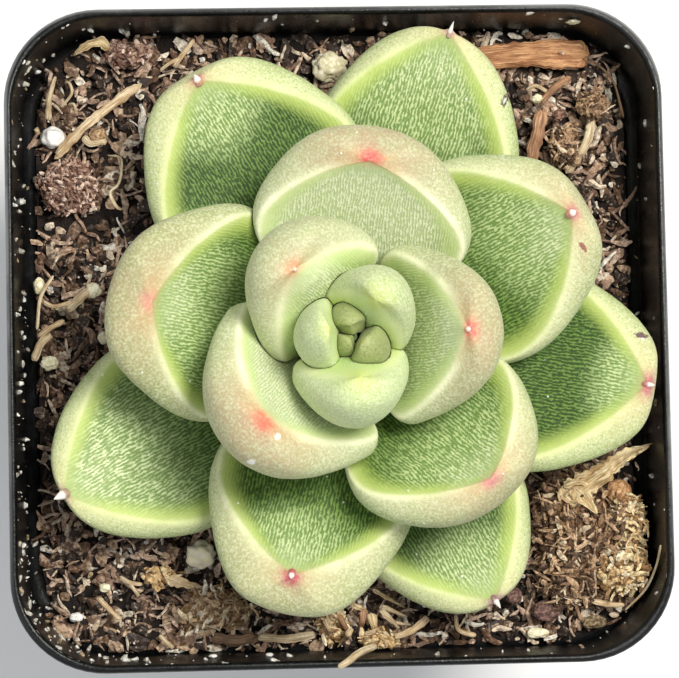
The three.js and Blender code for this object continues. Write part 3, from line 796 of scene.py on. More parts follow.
def stemTree():
    tree, given = newTree("growStem", {
        "Root": 31.0, "Apex": 64.2, "Foot": 2.6, "Soil": 42.0, "Root Spread": 5.5, "Scar Spacing": 1.1,
        "Centre": (0.3, -0.9, 0.0), "Material": None,
    })
    low, high = given("Root"), given("Apex")
    line = geo(tree, "CurvePrimitiveLine", {"Start": vector(0.0, 0.0, low), "End": vector(0.0, 0.0, high)})
    dense = geo(tree, "ResampleCurve", {"Curve": line, "Count": 150})
    share = geo(tree, "SplineParameter")
    height = low + share * (high - low)
    body = given("Foot") * fade(height, low, given("Soil"))
    slim = fade(height, 49.0, high)
    scars = sine(height * (2 * math.pi) / given("Scar Spacing")) * 0.09 * fade(height, 41.0, 43.0)
    radius = highest(blend(body, 0.4, slim) - scars * (1 - slim), 0.12)
    ring = geo(tree, "CurvePrimitiveCircle", {"Resolution": 36, "Radius": 1.0})
    trunk = tubeAlong(dense, ring, radius)
    # four roots go out and down below the soil
    ground, spread = given("Soil"), given("Root Spread")
    route = geo(tree, "CurveQuadraticBezier", {
        "Resolution": 24, "Start": vector(0.0, 0.0, ground - 4),
        "Middle": vector(spread * 0.7, 0.0, ground - 5), "End": vector(spread, 0.0, low + 1)})
    thin = blend(0.75, 0.35, share)
    smallRing = geo(tree, "CurvePrimitiveCircle", {"Resolution": 12, "Radius": 1.0})
    branch = tubeAlong(route, smallRing, thin)
    spots = geo(tree, "MeshLine", {"Count": 4, "Offset": (0, 0, 0)})
    turn = vector(0.0, 0.0, (geo(tree, "InputIndex") + 0.3) * (math.pi / 2))
    roots = geo(tree, "InstanceOnPoints", {"Points": spots, "Instance": branch, "Rotation": turn})
    both = geo(tree, "JoinGeometry", {"Geometry": trunk})
    feed(both.socket.node.inputs[0], roots)
    real = geo(tree, "RealizeInstances", {"Geometry": both})
    place = geo(tree, "InputPosition")
    normal = geo(tree, "InputNormal")
    rough = vectorMaths("SCALE", normal, scale=(cloud(place, 1.1, 3.0) - 0.5) * 0.3)
    moved = vectorMaths("ADD", vectorMaths("ADD", place, rough), given("Centre"))
    endTree(tree, moveTo(real, vectorMaths("SCALE", moved, scale=mm)), given("Material"))
    return tree


def stemBark():
    material, tree, shader = newMaterial("stemBark", 0.75)
    place = objectPlace(tree)
    rings = cloud(vectorMaths("MULTIPLY", place, (0.5, 0.5, 3.0)), 0.9, 4.0)
    colour = mixed("6f6a3e", "a79a68", fade(rings, 0.35, 0.65))
    height = parts(place)[2]
    colour = mixed(colour, "56683a", fade(height, 52.0, 60.0))
    feed(shader.inputs["Base Color"], mixed("6d4e35", colour, fade(height, 41.0, 44.0)))
    bump(shader, cloud(place, 3.0, 4.0), 0.12)
    return material


def makeStem():
    values = {"Root": stem["root"], "Apex": stem["apex"], "Foot": stem["foot"],
              "Root Spread": stem["rootSpread"], "Material": stemBark()}
    piece = grow("stemAndRoots", stemTree(), values)
    settle([piece])
    return piece


leaves = makeLeaves()
print("leaves grown:", sum(len(leaf.data.polygons) for leaf in leaves), "faces")
stemPiece = makeStem()
stemCopy = bpy.data.objects.new("stemCutter", mergedCopy("stem"))
pressLeaves(leaves, stemCopy)
bpy.data.objects.remove(stemCopy)
addPiece(stemPiece, "stem_bark", "stem")
for index, leaf in enumerate(leaves):
    leaf.data.set_sharp_from_angle(angle=math.radians(45 if index < leafShape["firstBud"] else 75))
    age = (index >= leafShape["firstInner"]) + (index >= leafShape["firstBud"])
    addPiece(leaf, ("mature_leaf", "inner_leaf", "bud_leaf")[age], "leaf_%02d" % (index + 1))
print("leaves pressed together on their stem")


pot = {"height": 50.0, "rimHalf": 28.0, "rimCorner": 8.0, "lip": 0.7, "collarDepth": 8.5, "collarFlare": 0.3,
       "collarStep": 0.8, "ledgeDepth": 7.5, "ledgeInset": 0.9, "footHalf": 20.3, "footCorner": 6.0,
       "footWidth": 2.2, "footDepth": 1.2, "floor": 1.0, "wall": 0.85, "middleHole": 6.0, "sideHole": 5.0,
       "sideHoleAt": 11.0, "notch": 5.0, "edgeRound": 0.3, "cornerSteps": 14, "sideSteps": 10}
innerRim = pot["rimHalf"] - pot["lip"]
innerLedge = innerRim - 0.3
innerBelow = innerLedge - pot["ledgeInset"]
ledgeHeight = pot["height"] - pot["ledgeDepth"]
floorTop = pot["footDepth"] + pot["floor"]
underCollar = pot["height"] - pot["collarDepth"]


def potTaper(z):
    top = pot["rimHalf"] - pot["collarFlare"] - pot["collarStep"]
    return pot["footHalf"] + (top - pot["footHalf"]) * z / underCollar


innerFloor = potTaper(floorTop) - pot["wall"]


def potInside(z):
    return innerFloor + (innerBelow - innerFloor) * (z - floorTop) / (ledgeHeight - floorTop)


def potCorner(half):
    share = (half - pot["footHalf"]) / (pot["rimHalf"] - pot["footHalf"])
    return pot["footCorner"] + (pot["rimCorner"] - pot["footCorner"]) * share


def squareRing(half, corner, cornerSteps, sideSteps):  # a rounded square, counter-clockwise
    reach = half - corner
    ring = []
    for quarter in range(4):
        cosTurn, sinTurn = ((1, 0), (0, 1), (-1, 0), (0, -1))[quarter]
        steps = [(reach + corner * math.cos(a), reach + corner * math.sin(a))
                 for a in [math.pi / 2 * i / cornerSteps for i in range(cornerSteps + 1)]]
        steps += [(reach - 2 * reach * i / sideSteps, half) for i in range(1, sideSteps)]
        ring += [(x * cosTurn - y * sinTurn, x * sinTurn + y * cosTurn) for x, y in steps]
    return ring


def roundedProfile(stations, radius, steps=4):  # eases each corner of a profile by the radius
    eased = [stations[0]]
    for before, here, after in zip(stations, stations[1:], stations[2:]):
        here, toBefore, toAfter = Vector(here), Vector(before) - Vector(here), Vector(after) - Vector(here)
        reach = min(radius, toBefore.length * 0.45, toAfter.length * 0.45)
        start, end = here + toBefore.normalized() * reach, here + toAfter.normalized() * reach
        for step in range(steps + 1):
            t = step / steps
            eased.append(tuple(start * (1 - t) ** 2 + here * 2 * t * (1 - t) + end * t ** 2))
    return [*eased, stations[-1]]


def blackPlastic():
    material, tree, shader = newMaterial("blackPlastic", 0.34)
    place = objectPlace(tree)
    haze = cloud(place, 0.09, 4.0, 0.6)
    rubbed = cloud(vectorMaths("MULTIPLY", place, (1.0, 1.0, 0.3)), 0.8, 4.0, 0.65)
    colour = mixed("08090a", "121416", fade(rubbed, 0.4, 0.7))
    colour = mixed(colour, "242628", fade(haze, 0.52, 0.72) * 0.5)
    x, y, z = parts(place)
    reach = pot["rimHalf"] - pot["rimCorner"]
    fromAxis = root(highest(abs(x) - reach, 0) ** 2 + highest(abs(y) - reach, 0) ** 2) - pot["rimCorner"]
    # painted highlight: a pale grey band on the rim's rounded outer lip, fading out towards the front, stands
    # in for light reflected there
    lip = fade(z, pot["height"] - 0.9, pot["height"] - 0.1) * fade(fromAxis, -0.42, -0.1)
    colour = mixed(colour, "8f9090", lip * fade(y, -26.0, -12.0) * blend(0.35, 0.9, fade(haze, 0.4, 0.6)))
    feed(shader.inputs["Base Color"], colour)
    feed(shader.inputs["Roughness"], blend(0.27, 0.46, fade(rubbed * 0.6 + haze * 0.4, 0.4, 0.65)))
    shader.inputs["Specular IOR Level"].default_value = 0.3
    grain = cloud(place, 4.0, 3.0, 0.6)
    bump(shader, grain * 0.5 + rubbed, 0.05)
    return material


def makePot():
    outside = pot["footHalf"] - pot["footWidth"]
    stations = [
        (outside, pot["footDepth"]), (outside, 0.0), (pot["footHalf"], 0.0),
        (potTaper(underCollar), underCollar), (pot["rimHalf"] - pot["collarFlare"], underCollar + 0.5),
        (pot["rimHalf"], pot["height"] - 0.3), (pot["rimHalf"] - 0.2, pot["height"]),
        (innerRim + 0.15, pot["height"]), (innerRim, pot["height"] - 0.35), (innerLedge, ledgeHeight + 0.35),
        (innerLedge - 0.35, ledgeHeight), (innerBelow, ledgeHeight - 0.35), (innerFloor, floorTop),
        (innerFloor * 0.5, floorTop),
    ]
    rings = []
    for half, z in [(outside * 0.5, pot["footDepth"]), *roundedProfile(stations, pot["edgeRound"])]:
        flat = squareRing(half, min(potCorner(half), half * 0.6), pot["cornerSteps"], pot["sideSteps"])
        rings.append([(x, y, z) for x, y in flat])
    mesh = stackRings("potShell", rings)
    facingOut(mesh)
    piece = newObject("potShell", mesh)
    drills = []
    side = pot["sideHoleAt"]
    corners = [(pot["sideHole"], x, y) for x in (-side, side) for y in (-side, side)]
    for diameter, x, y in [(pot["middleHole"], 0, 0), *corners]:
        drill = bmesh.new()
        radius = diameter / 2 * mm
        place = Matrix.Translation((x * mm, y * mm, 0))
        bmesh.ops.create_cone(drill, cap_ends=True, segments=48, radius1=radius, radius2=radius,
                              depth=10 * mm, matrix=place)
        drills.append(drill)
    for quarter in range(4):
        notch = bmesh.new()
        turn = Matrix.Rotation(quarter * math.pi / 2, 4, "Z")
        size = Matrix.Diagonal((pot["footWidth"] * 3 * mm, pot["notch"] * mm, pot["footDepth"] * mm, 1))
        height = (pot["footDepth"] / 2 - 0.2) * mm
        place = Matrix.Translation((pot["footHalf"] * mm, 0, height))
        bmesh.ops.create_cube(notch, size=1, matrix=turn @ place @ size)
        drills.append(notch)
    cutters = []
    for number, drill in enumerate(drills):
        cutMesh = bpy.data.meshes.new("drill%02d" % number)
        drill.to_mesh(cutMesh)
        drill.free()
        cutters.append(newObject("drill%02d" % number, cutMesh))
        combine(piece, cutters[-1])
    settle([piece])
    for cutter in cutters:
        bpy.data.objects.remove(cutter)
    piece.data.materials.clear()
    piece.data.materials.append(blackPlastic())
    piece.data.shade_smooth()
    piece.data.set_sharp_from_angle(angle=math.radians(38))
    addPiece(piece, "pot_plastic", "pot")
    return piece


potPiece = makePot()
print("pot made")


soil = {"top": 42.0, "dip": 1.6, "dipFrom": 9.0, "dipTo": 22.0, "clods": 0.8, "rings": 74, "around": 4 * 84,
        "wallGap": 0.06, "brim": 26.72, "bottomGap": 0.3}


def soilHeight(x, y):  # the bed below the loose strands and crumbs
    fromStem = math.hypot(x - stem["x"], y - stem["y"])
    t = within((fromStem - soil["dipFrom"]) / (soil["dipTo"] - soil["dipFrom"]))
    dip = soil["dip"] * (1 - t * t * (3 - 2 * t))
    clods = noise.noise(Vector((x * 0.28, y * 0.28, 3.1)))
    clods += 0.55 * noise.noise(Vector((x * 0.8, y * 0.8, 7.7)))
    fine = 0.3 * noise.noise(Vector((x * 2.1, y * 2.1, 1.3)))
    banked = max(0.0, (abs(y) - 22.0) / 4.0) * 0.5
    rough = (clods + fine) * soil["clods"] * min(1.0, fromStem / 6)
    return soil["top"] - dip + rough + min(banked, 0.5) - 0.35


def peat(name, dark, light, fibre):
    material, tree, shader = newMaterial(name, 0.9)
    place = objectPlace(tree)
    coarse = cloud(place, 0.7, 5.0, 0.6)
    fine = cloud(place, 4.5, 4.0, 0.7)
    colour = mixed(dark, light, fade(coarse * 0.5 + fine * 0.5, 0.42, 0.62))
    colour = mixed(colour, fibre, fade(fine, 0.6, 0.75) * 0.5)
    feed(shader.inputs["Base Color"], colour)
    bump(shader, fine + coarse, 0.25)
    return material


def makeBed():
    rings = []
    bottom = floorTop + soil["bottomGap"]
    low = potInside(bottom) - soil["wallGap"]
    wall = potInside(ledgeHeight - 0.6) - soil["wallGap"]
    perCorner = soil["around"] // 4
    cornerSteps = perCorner // 3

    def ringAt(half, corner):
        return squareRing(half, corner, cornerSteps, perCorner - cornerSteps)

    for half, z in ((low * 0.5, bottom), (low, bottom), (wall, ledgeHeight - 0.6)):
        rings.append([(x, y, z) for x, y in ringAt(half, potCorner(half))])
    corner = potCorner(wall)
    for ring in range(soil["rings"]):
        share = 1 - ring / soil["rings"]
        line = []
        for x, y in ringAt(wall * share, corner * share):
            over = 0.0
            if ring < 3 and abs(y) > wall - corner * 0.5:  # spills over the ledge at the front and back
                over = (soil["brim"] - wall) * (1 - ring / 3)
            grown = 1 + over / wall
            line.append((x * grown, y * grown, max(soilHeight(x, y), ledgeHeight + 0.12 if over else 0)))
        rings.append(line)
    mesh = stackRings("soilBed", rings)
    facingOut(mesh)
    mesh.shade_smooth()
    mesh.materials.append(peat("darkPeat", "0e0907", "30211a", "614837"))
    return newObject("soilBed", mesh)


bedPiece = makeBed()
addPiece(bedPiece, "potting_mix", "soil")
print("soil bed made")


def patchOf(mesh, weight):  # the faces that weight(centre, normal) keeps, with that weight for scattering
    shape = bmesh.new()
    shape.from_mesh(mesh)
    layer = shape.faces.layers.float.new("weight")
    dropped = []
    for face in shape.faces:
        face[layer] = weight(face.calc_center_median() * 1000, face.normal)
        if face[layer] <= 0:
            dropped.append(face)
    bmesh.ops.delete(shape, geom=dropped, context="FACES")
    patch = bpy.data.meshes.new("patch")
    shape.to_mesh(patch)
    shape.free()
    return patch


def scattered(tree, given):  # weighted random points on the ground, from here on in millimetres
    place = geo(tree, "InputPosition")
    ground = moveTo(given("Ground"), vectorMaths("SCALE", place, scale=1000))
    density = given("Density") * stored(tree, "weight")
    return geo(tree, "DistributePointsOnFaces", {"Mesh": ground, "Density": density, "Seed": given("Seed")})


def chance(tree, low, high, seed):  # a random number for each point
    kind = "FLOAT_VECTOR" if isinstance(low, tuple) else "FLOAT"
    made = addNode(tree, "FunctionNodeRandomValue", {"Min": low, "Max": high, "Seed": seed}, data_type=kind)
    return wire(made)


def inPot(place, given):  # keeps a point inside the pot's rounded square
    x, y, z = parts(place)
    reach = given("Wall") - given("Corner")
    overX, overY = highest(abs(x) - reach, 0), highest(abs(y) - reach, 0)
    over = root(overX ** 2 + overY ** 2)
    kept = lowest(given("Corner") / highest(over, 0.001), 1)
    insideX = (lowest(abs(x), reach) + overX * kept) * x.maths("SIGN")
    insideY = (lowest(abs(y), reach) + overY * kept) * y.maths("SIGN")
    return vector(insideX, insideY, z)


def strandTree():
    tree, given = newTree("scatterStrands", {
        "Ground": "", "Density": 1.0, "Seed": 1, "Shortest": 1.2, "Longest": 4.5, "Thinnest": 0.06,
        "Thickest": 0.2, "Flatness": 0.6, "Tilt": 0.45, "Curl": 1.2, "Curl Size": 0.35, "Roughness": 0.2,
        "Lift": 0.1, "Wall": 26.75, "Corner": 7.4, "Points": 7, "Material": None,
    })
    points = scattered(tree, given)
    line = geo(tree, "CurvePrimitiveLine", {"Start": (-0.5, 0, 0), "End": (0.5, 0, 0)})
    fibre = geo(tree, "ResampleCurve", {"Curve": line, "Count": given("Points")})
    seed = given("Seed")
    reach = chance(tree, 0.0, 1.0, seed + 1) ** 2
    length = given("Shortest") + (given("Longest") - given("Shortest")) * reach
    tilt = given("Tilt")
    turn = vector(0.0, chance(tree, -1.0, 1.0, seed + 2) * tilt, chance(tree, 0.0, 2 * math.pi, seed + 3))
    laid = geo(tree, "InstanceOnPoints", {"Points": points, "Instance": fibre, "Rotation": turn,
                                          "Scale": vector(length, 1.0, 1.0)})
    for name, offset in (("tint", 4), ("girth", 5)):
        laid = store(laid, name, chance(tree, 0.0, 1.0, seed + offset), data_type="FLOAT", domain="INSTANCE")
    real = geo(tree, "RealizeInstances", {"Geometry": laid})
    place = geo(tree, "InputPosition")
    tint = stored(tree, "tint")
    girth = stored(tree, "girth")
    spot = vectorMaths("ADD", place, vector(tint * 90, girth * 70, 0.0))
    swirl = addNode(tree, "ShaderNodeTexNoise", {"Vector": spot, "Scale": given("Curl Size"), "Detail": 1.0})
    offset = vectorMaths("SUBTRACT", wire(swirl, "Color"), (0.5, 0.5, 0.46))
    bent = vectorMaths("ADD", place, vectorMaths("SCALE", offset, scale=given("Curl") * 2))
    lifted = vectorMaths("ADD", bent, vector(0.0, 0.0, given("Lift")))
    curled = moveTo(real, inPot(lifted, given))
    share = geo(tree, "SplineParameter")
    thickness = given("Thinnest") + (given("Thickest") - given("Thinnest")) * girth ** 2
    radius = thickness * (sine(share * math.pi) * 0.6 + 0.4)
    ring = geo(tree, "CurvePrimitiveCircle", {"Resolution": 4, "Radius": 1.0})
    flat = geo(tree, "Transform", {"Geometry": ring, "Scale": vector(1.0, given("Flatness"), 1.0)})
    tube = tubeAlong(curled, flat, radius)
    normal = geo(tree, "InputNormal")
    rough = vectorMaths("SCALE", normal, scale=(cloud(place, 2.4, 1.0) - 0.5) * given("Roughness"))
    ragged = vectorMaths("SCALE", vectorMaths("ADD", place, rough), scale=mm)
    endTree(tree, moveTo(tube, ragged), given("Material"), smooth=False)
    return tree


def crumbTree():
    tree, given = newTree("scatterCrumbs", {
        "Ground": "", "Density": 0.4, "Seed": 1, "Smallest": 0.15, "Largest": 0.8, "Rarity": 2.5,
        "Flatness": 0.8, "Roughness": 0.5, "Stretch": 1.4, "Lift": 0.0, "Wall": 26.75, "Corner": 7.4,
        "Segments": 8, "Rings": 5, "Material": None,
    })
    points = scattered(tree, given)
    seed = given("Seed")
    ball = geo(tree, "MeshUVSphere", {"Segments": given("Segments"), "Rings": given("Rings"), "Radius": 1.0})
    share = chance(tree, 0.0, 1.0, seed + 1) ** given("Rarity")
    size = given("Smallest") + (given("Largest") - given("Smallest")) * share
    stretch = chance(tree, 0.7, given("Stretch"), seed + 5)
    turn = chance(tree, (-math.pi, -math.pi, -math.pi), (math.pi, math.pi, math.pi), seed + 2)
    laid = geo(tree, "InstanceOnPoints", {"Points": points, "Instance": ball, "Rotation": turn,
                                          "Scale": vector(size, size * stretch, size * given("Flatness"))})
    for name, value in (("tint", chance(tree, 0.0, 1.0, seed + 3)), ("grain", size)):
        laid = store(laid, name, value, data_type="FLOAT", domain="INSTANCE")
    real = geo(tree, "RealizeInstances", {"Geometry": laid})
    place = geo(tree, "InputPosition")
    normal = geo(tree, "InputNormal")
    grain = stored(tree, "grain")
    ownPlace = vectorMaths("SCALE", place, scale=highest(grain, 0.05) ** -1.0)
    rough = (cloud(ownPlace, 0.9, 1.0) - 0.5) * grain * given("Roughness") * 2
    moved = vectorMaths("ADD", place, vectorMaths("SCALE", normal, scale=rough))
    lifted = vectorMaths("ADD", moved, vector(0.0, 0.0, given("Lift")))
    final = vectorMaths("SCALE", inPot(lifted, given), scale=mm)
    endTree(tree, moveTo(real, final), given("Material"), smooth=False)
    return tree


def tinted(name, colours, roughness=0.62, grain=3.0, relief=0.04):  # colours by the share of pieces below
    material, tree, shader = newMaterial(name, roughness)
    tint = wire(addNode(tree, "ShaderNodeAttribute", attribute_name="tint"), "Fac")
    place = objectPlace(tree)
    stops = list(colours.items())
    colour = stops[0][1]
    for (before, unused), (stop, later) in zip(stops, stops[1:]):
        colour = mixed(colour, later, fade(tint, before - 0.02, before + 0.02))
    mottle = cloud(place, grain, 3.0, 0.6)
    # random patches on each piece: darkened towards near black as painted shade and lightened towards cream
    # as painted highlight, over its own colour
    shaded = mixed(colour, "0f0a07", fade(mottle, 0.62, 0.3) * 0.7)
    feed(shader.inputs["Base Color"], mixed(shaded, "f8e6cc", fade(mottle, 0.55, 0.76) * 0.5))
    bump(shader, mottle, relief)
    return material


strands = {
    "soilStrandsDark": {"Density": 0.9, "Seed": 11, "Longest": 3.8, "Thinnest": 0.12, "Thickest": 0.44,
                        "Curl": 1.2, "Lift": 0.1, "colours": {0.4: "34241a", 0.72: "745641", 1.0: "bc9a80"}},
    "soilStrandsPale": {"Density": 1.0, "Seed": 47, "Longest": 3.2, "Thinnest": 0.1, "Thickest": 0.32,
                        "Curl": 1.4, "Lift": 0.4, "Tilt": 0.6,
                        "colours": {0.3: "b0907a", 0.65: "d6b8a0", 0.9: "ecd6bc", 1.0: "fdf6e6"}},
    "soilFlakes": {"Density": 1.5, "Seed": 83, "Shortest": 0.6, "Longest": 2.2, "Thinnest": 0.22,
                   "Thickest": 0.64, "Flatness": 0.3, "Tilt": 0.7, "Curl": 0.8, "Roughness": 0.5, "Lift": 0.3,
                   "Points": 5, "colours": {0.46: "3a281d", 0.76: "785b45", 0.91: "caaa8c", 1.0: "fbeed8"}},
}
crumbs = {
    "soilCrumbs": {"Density": 0.9, "Seed": 5, "Smallest": 0.13, "Largest": 0.66, "Roughness": 1.4,
                   "Flatness": 0.7, "Stretch": 1.8, "Lift": 0.25, "slot": "potting_mix",
                   "colours": {0.48: "34241a", 0.74: "7c5e49", 0.91: "cdae94", 1.0: "f6e6ce"}},
    "paleGrains": {"Density": 0.09, "Seed": 91, "Smallest": 0.1, "Largest": 0.45, "Roughness": 0.9,
                   "Lift": 0.45, "slot": "pale_grain",
                   "colours": {0.4: "e6dcc6", 0.8: "f6f1e6", 1.0: "d9bf97"}},
}


spread = {"clumps": 0.6, "clumpSize": 0.25, "shaded": 0.12, "shadeReach": 16, "shadeEdge": 5,
          "thinFarLeft": 0.3, "thinRight": 0.12}


def openSoil(centre, normal):  # most of what is scattered lies outside the rosette's shade
    if normal.z < 0.15 or centre.z < ledgeHeight - 3.5:
        return 0.0
    fromStem = math.hypot(centre.x - stem["x"], centre.y - stem["y"])
    spot = Vector((centre.x * spread["clumpSize"], centre.y * spread["clumpSize"], 5.0))
    clumps = 0.75 + spread["clumps"] * noise.noise(spot)
    farLeft = within((-8 - centre.x) / 10) * within((centre.y - 4) / 8)
    sparse = 1 - spread["thinFarLeft"] * farLeft - spread["thinRight"] * within((centre.x - 8) / 10)
    lit = within((fromStem - spread["shadeReach"]) / spread["shadeEdge"])
    return clumps * sparse * (spread["shaded"] + 0.88 * lit)


growStrands, growCrumbs = strandTree(), crumbTree()
bedPatch = patchOf(bedPiece.data, openSoil)
loose = []
for name, values in strands.items():
    values = {**values, "Material": tinted(name + "Colour", values["colours"])}
    loose.append((grow(name, growStrands, values, bedPatch.copy()), "potting_mix"))
for name, values in crumbs.items():
    values = {**values, "Material": tinted(name + "Colour", values["colours"])}
    loose.append((grow(name, growCrumbs, values, bedPatch.copy()), values["slot"]))
settle([piece for piece, slot in loose])
for piece, slot in loose:
    addPiece(piece, slot)
print("strands and crumbs scattered:", [len(piece.data.polygons) for piece, slot in loose])


flecks = {"all": 0.22, "nearCorner": 2.6, "farCorner": 0.8, "left": 0.7, "leftOf": -24}


def innerWalls(centre, normal):  # white flecks: most on the left wall and in the near left corner
    x, y, z = centre
    if z < ledgeHeight - 0.1 or max(abs(x), abs(y)) > innerRim + 0.6 or normal.z > 0.9 and z < ledgeHeight:
        return 0.0
    nearCorner = math.exp(-((x + 23) ** 2 + (y + 23) ** 2) / 60)
    farCorner = math.exp(-((x + 22) ** 2 + (y - 25) ** 2) / 40)
    left = 1.0 if x < flecks["leftOf"] else 0.0
    corners = flecks["all"] + flecks["nearCorner"] * nearCorner + flecks["farCorner"] * farCorner
    return corners + flecks["left"] * left


fleckPiece = grow("whiteFlecks", growCrumbs, {
    "Density": 0.26, "Seed": 23, "Smallest": 0.05, "Largest": 0.34, "Rarity": 2.2, "Flatness": 0.6,
    "Stretch": 2.4, "Segments": 6, "Rings": 4, "Wall": innerRim, "Corner": 7.6,
    "Material": tinted("fleckColour", {0.3: "cfc8bb", 0.85: "f2efe6", 1.0: "a58f70"}, 0.7),
}, patchOf(potPiece.data, innerWalls))
settle([fleckPiece])
addPiece(fleckPiece, "pale_grain")
print("flecks on the pot:", len(fleckPiece.data.polygons), "faces")


def smoothRoute(points, steps):  # an even smooth line through the given points
    points = [Vector(point) for point in points]
    ends = [points[0] * 2 - points[1], *points, points[-1] * 2 - points[-2]]
    line = []
    for i in range(1, len(ends) - 2):
        a, b, c, d = ends[i - 1:i + 3]
        for step in range(24):
            t = step / 24
            bowed = (2 * b) + (c - a) * t + (2 * a - 5 * b + 4 * c - d) * t ** 2
            line.append(0.5 * (bowed + (3 * b - a - 3 * c + d) * t ** 3))
    line.append(points[-1])
    lengths = [0.0]
    for a, b in zip(line, line[1:]):
        lengths.append(lengths[-1] + (b - a).length)
    even = []
    for step in range(steps + 1):
        wanted = lengths[-1] * step / steps
        i = max(k for k in range(len(lengths)) if lengths[k] <= wanted + 1e-9)
        i = min(i, len(line) - 2)
        share = (wanted - lengths[i]) / max(lengths[i + 1] - lengths[i], 1e-9)
        even.append(line[i].lerp(line[i + 1], share))
    return even, lengths[-1]


def makeStick(name, values, material):  # a twig, straw, chip or papery bit, swept along its route
    route, length = smoothRoute(values["route"], values.get("rings", 60))
    sides, seed = values.get("sides", 20), values.get("seed", 1) * 3.7
    blunt, groove, ragged = values.get("blunt", 2.0), values.get("groove", 0.2), values.get("ragged", 0.4)
    fray, crumple = values.get("fray", 0.0), values.get("crumple", 0.0)
    startWidth, endWidth = values.get("ends", (1.0, 1.0))
    up = Vector(values.get("up", (0, 0, 1))).normalized()
    rings, marks = [], []
    last = len(route) - 1
    for row, place in enumerate(route):
        ahead = (route[min(row + 1, last)] - route[max(row - 1, 0)]).normalized()
        side = ahead.cross(up).normalized()
        over = side.cross(ahead).normalized()
        share = row / last
        along = share * length
        closing = math.sqrt(max(0.0, 1 - abs(2 * share - 1) ** values.get("taper", 14)))
        knots = sum(0.16 * math.exp(-((share - joint) / 0.018) ** 2) for joint in values.get("joints", ()))
        swell = (1 + knots + 0.2 * noise.noise(Vector((along * 0.5, seed, 0)))) * max(closing, 0.03)
        wide = values["width"] / 2 * blend(startWidth, endWidth, share)
        ring = []
        for i in range(sides):
            angle = 2 * math.pi * i / sides
            c, s = math.cos(angle), math.sin(angle)
            stretch = (abs(c) ** blunt + abs(s) ** blunt) ** (-1 / blunt)
            lines = noise.noise(Vector((c * 3.1, s * 3.1, seed + along * 0.12)))
            lines += 0.6 * noise.noise(Vector((c * 7, s * 7, seed)))
            size = stretch * (1 + groove * lines)
            u, v = c * size * wide * swell, s * size * values["thick"] / 2 * swell
            u += c * wide * fray * closing * noise.noise(Vector((along * 1.9, math.copysign(4, c), seed)))
            v += crumple * closing * noise.noise(Vector((along * 0.9, u * 1.3, seed + 4)))
            torn = ragged * noise.noise(Vector((c * 2.3, s * 2.3, seed + 9)))
            torn *= (2 * share - 1) ** 5
            ring.append(place + side * u + over * v + ahead * (torn * values["width"]))
            marks.append((along, c * values["width"] / 2))
        rings.append(ring)
    mesh = stackRings(name, rings)
    layer = mesh.uv_layers.new(name="grain", do_init=False)
    layer.data.foreach_set("uv", [value for loop in mesh.loops for value in marks[loop.vertex_index]])
    facingOut(mesh)
    mesh.shade_smooth()
    mesh.set_sharp_from_angle(angle=math.radians(24))
    mesh.materials.append(material)
    return newObject(name, mesh)


def makeLump(name, values, material):  # a rough lump of the given size
    shape = bmesh.new()
    bmesh.ops.create_icosphere(shape, subdivisions=values.get("fineness", 4), radius=1.0)
    size, seed = Vector(values["size"]) / 2, values.get("seed", 1) * 5.3
    facets = values.get("facets", 0.0)
    for vertex in shape.verts:
        out = vertex.co.normalized()
        coarse = noise.noise(out * values.get("coarseness", 1.6) + Vector((seed, 0, 0)))
        fine = noise.noise(out * 6 + Vector((0, seed, 0))) * 0.5
        fine += noise.noise(out * 14 + Vector((0, 0, seed))) * 0.25
        reach = 1 + values.get("swell", 0.22) * coarse + values.get("roughness", 0.1) * fine
        if facets:
            distances, unused = noise.voronoi(out * 1.7 + Vector((seed, seed, 0)))
            reach += facets * (distances[0] - 0.5)
        place = Vector(values["place"]) + Vector([out[i] * reach * size[i] for i in range(3)])
        vertex.co = place * mm
    mesh = bpy.data.meshes.new(name)
    shape.to_mesh(mesh)
    shape.free()
    mesh.shade_smooth()
    mesh.materials.append(material)
    return newObject(name, mesh)


def grainy(name, dark, light, streak, roughness=0.7, relief=0.05, fineness=9.0):  # with lengthwise grain
    material, tree, shader = newMaterial(name, roughness)
    along, across = uvParts(tree, "grain")
    lines = cloud(vector(along * 0.35, across * fineness, 0.0), 1.0, 4.0, 0.6)
    broad = cloud(vector(along * 0.5, across * 1.6, 4.0), 1.0, 3.0)
    colour = mixed(dark, light, fade(broad * 0.5 + lines * 0.5, 0.38, 0.6))
    colour = mixed(colour, streak, fade(lines, 0.56, 0.7) * 0.7)
    pores = cloud(objectPlace(tree), 5.0, 3.0, 0.6)
    feed(shader.inputs["Base Color"], mixed(colour, dark, fade(pores, 0.55, 0.72) * 0.5))
    bump(shader, lines + pores * 0.4, relief)
    return material


def crumbly(name, dark, light, pale, roughness=0.9, relief=0.2, scale=1.0):
    material, tree, shader = newMaterial(name, roughness)
    place = objectPlace(tree)
    coarse = cloud(place, 0.9 * scale, 4.0, 0.6)
    fine = cloud(place, 3.6 * scale, 4.0, 0.65)
    colour = mixed(dark, light, fade(coarse * 0.4 + fine * 0.6, 0.4, 0.6))
    colour = mixed(colour, pale, fade(fine, 0.58, 0.72) * 0.7)
    feed(shader.inputs["Base Color"], colour)
    bump(shader, fine + coarse * 0.5, relief)
    return material


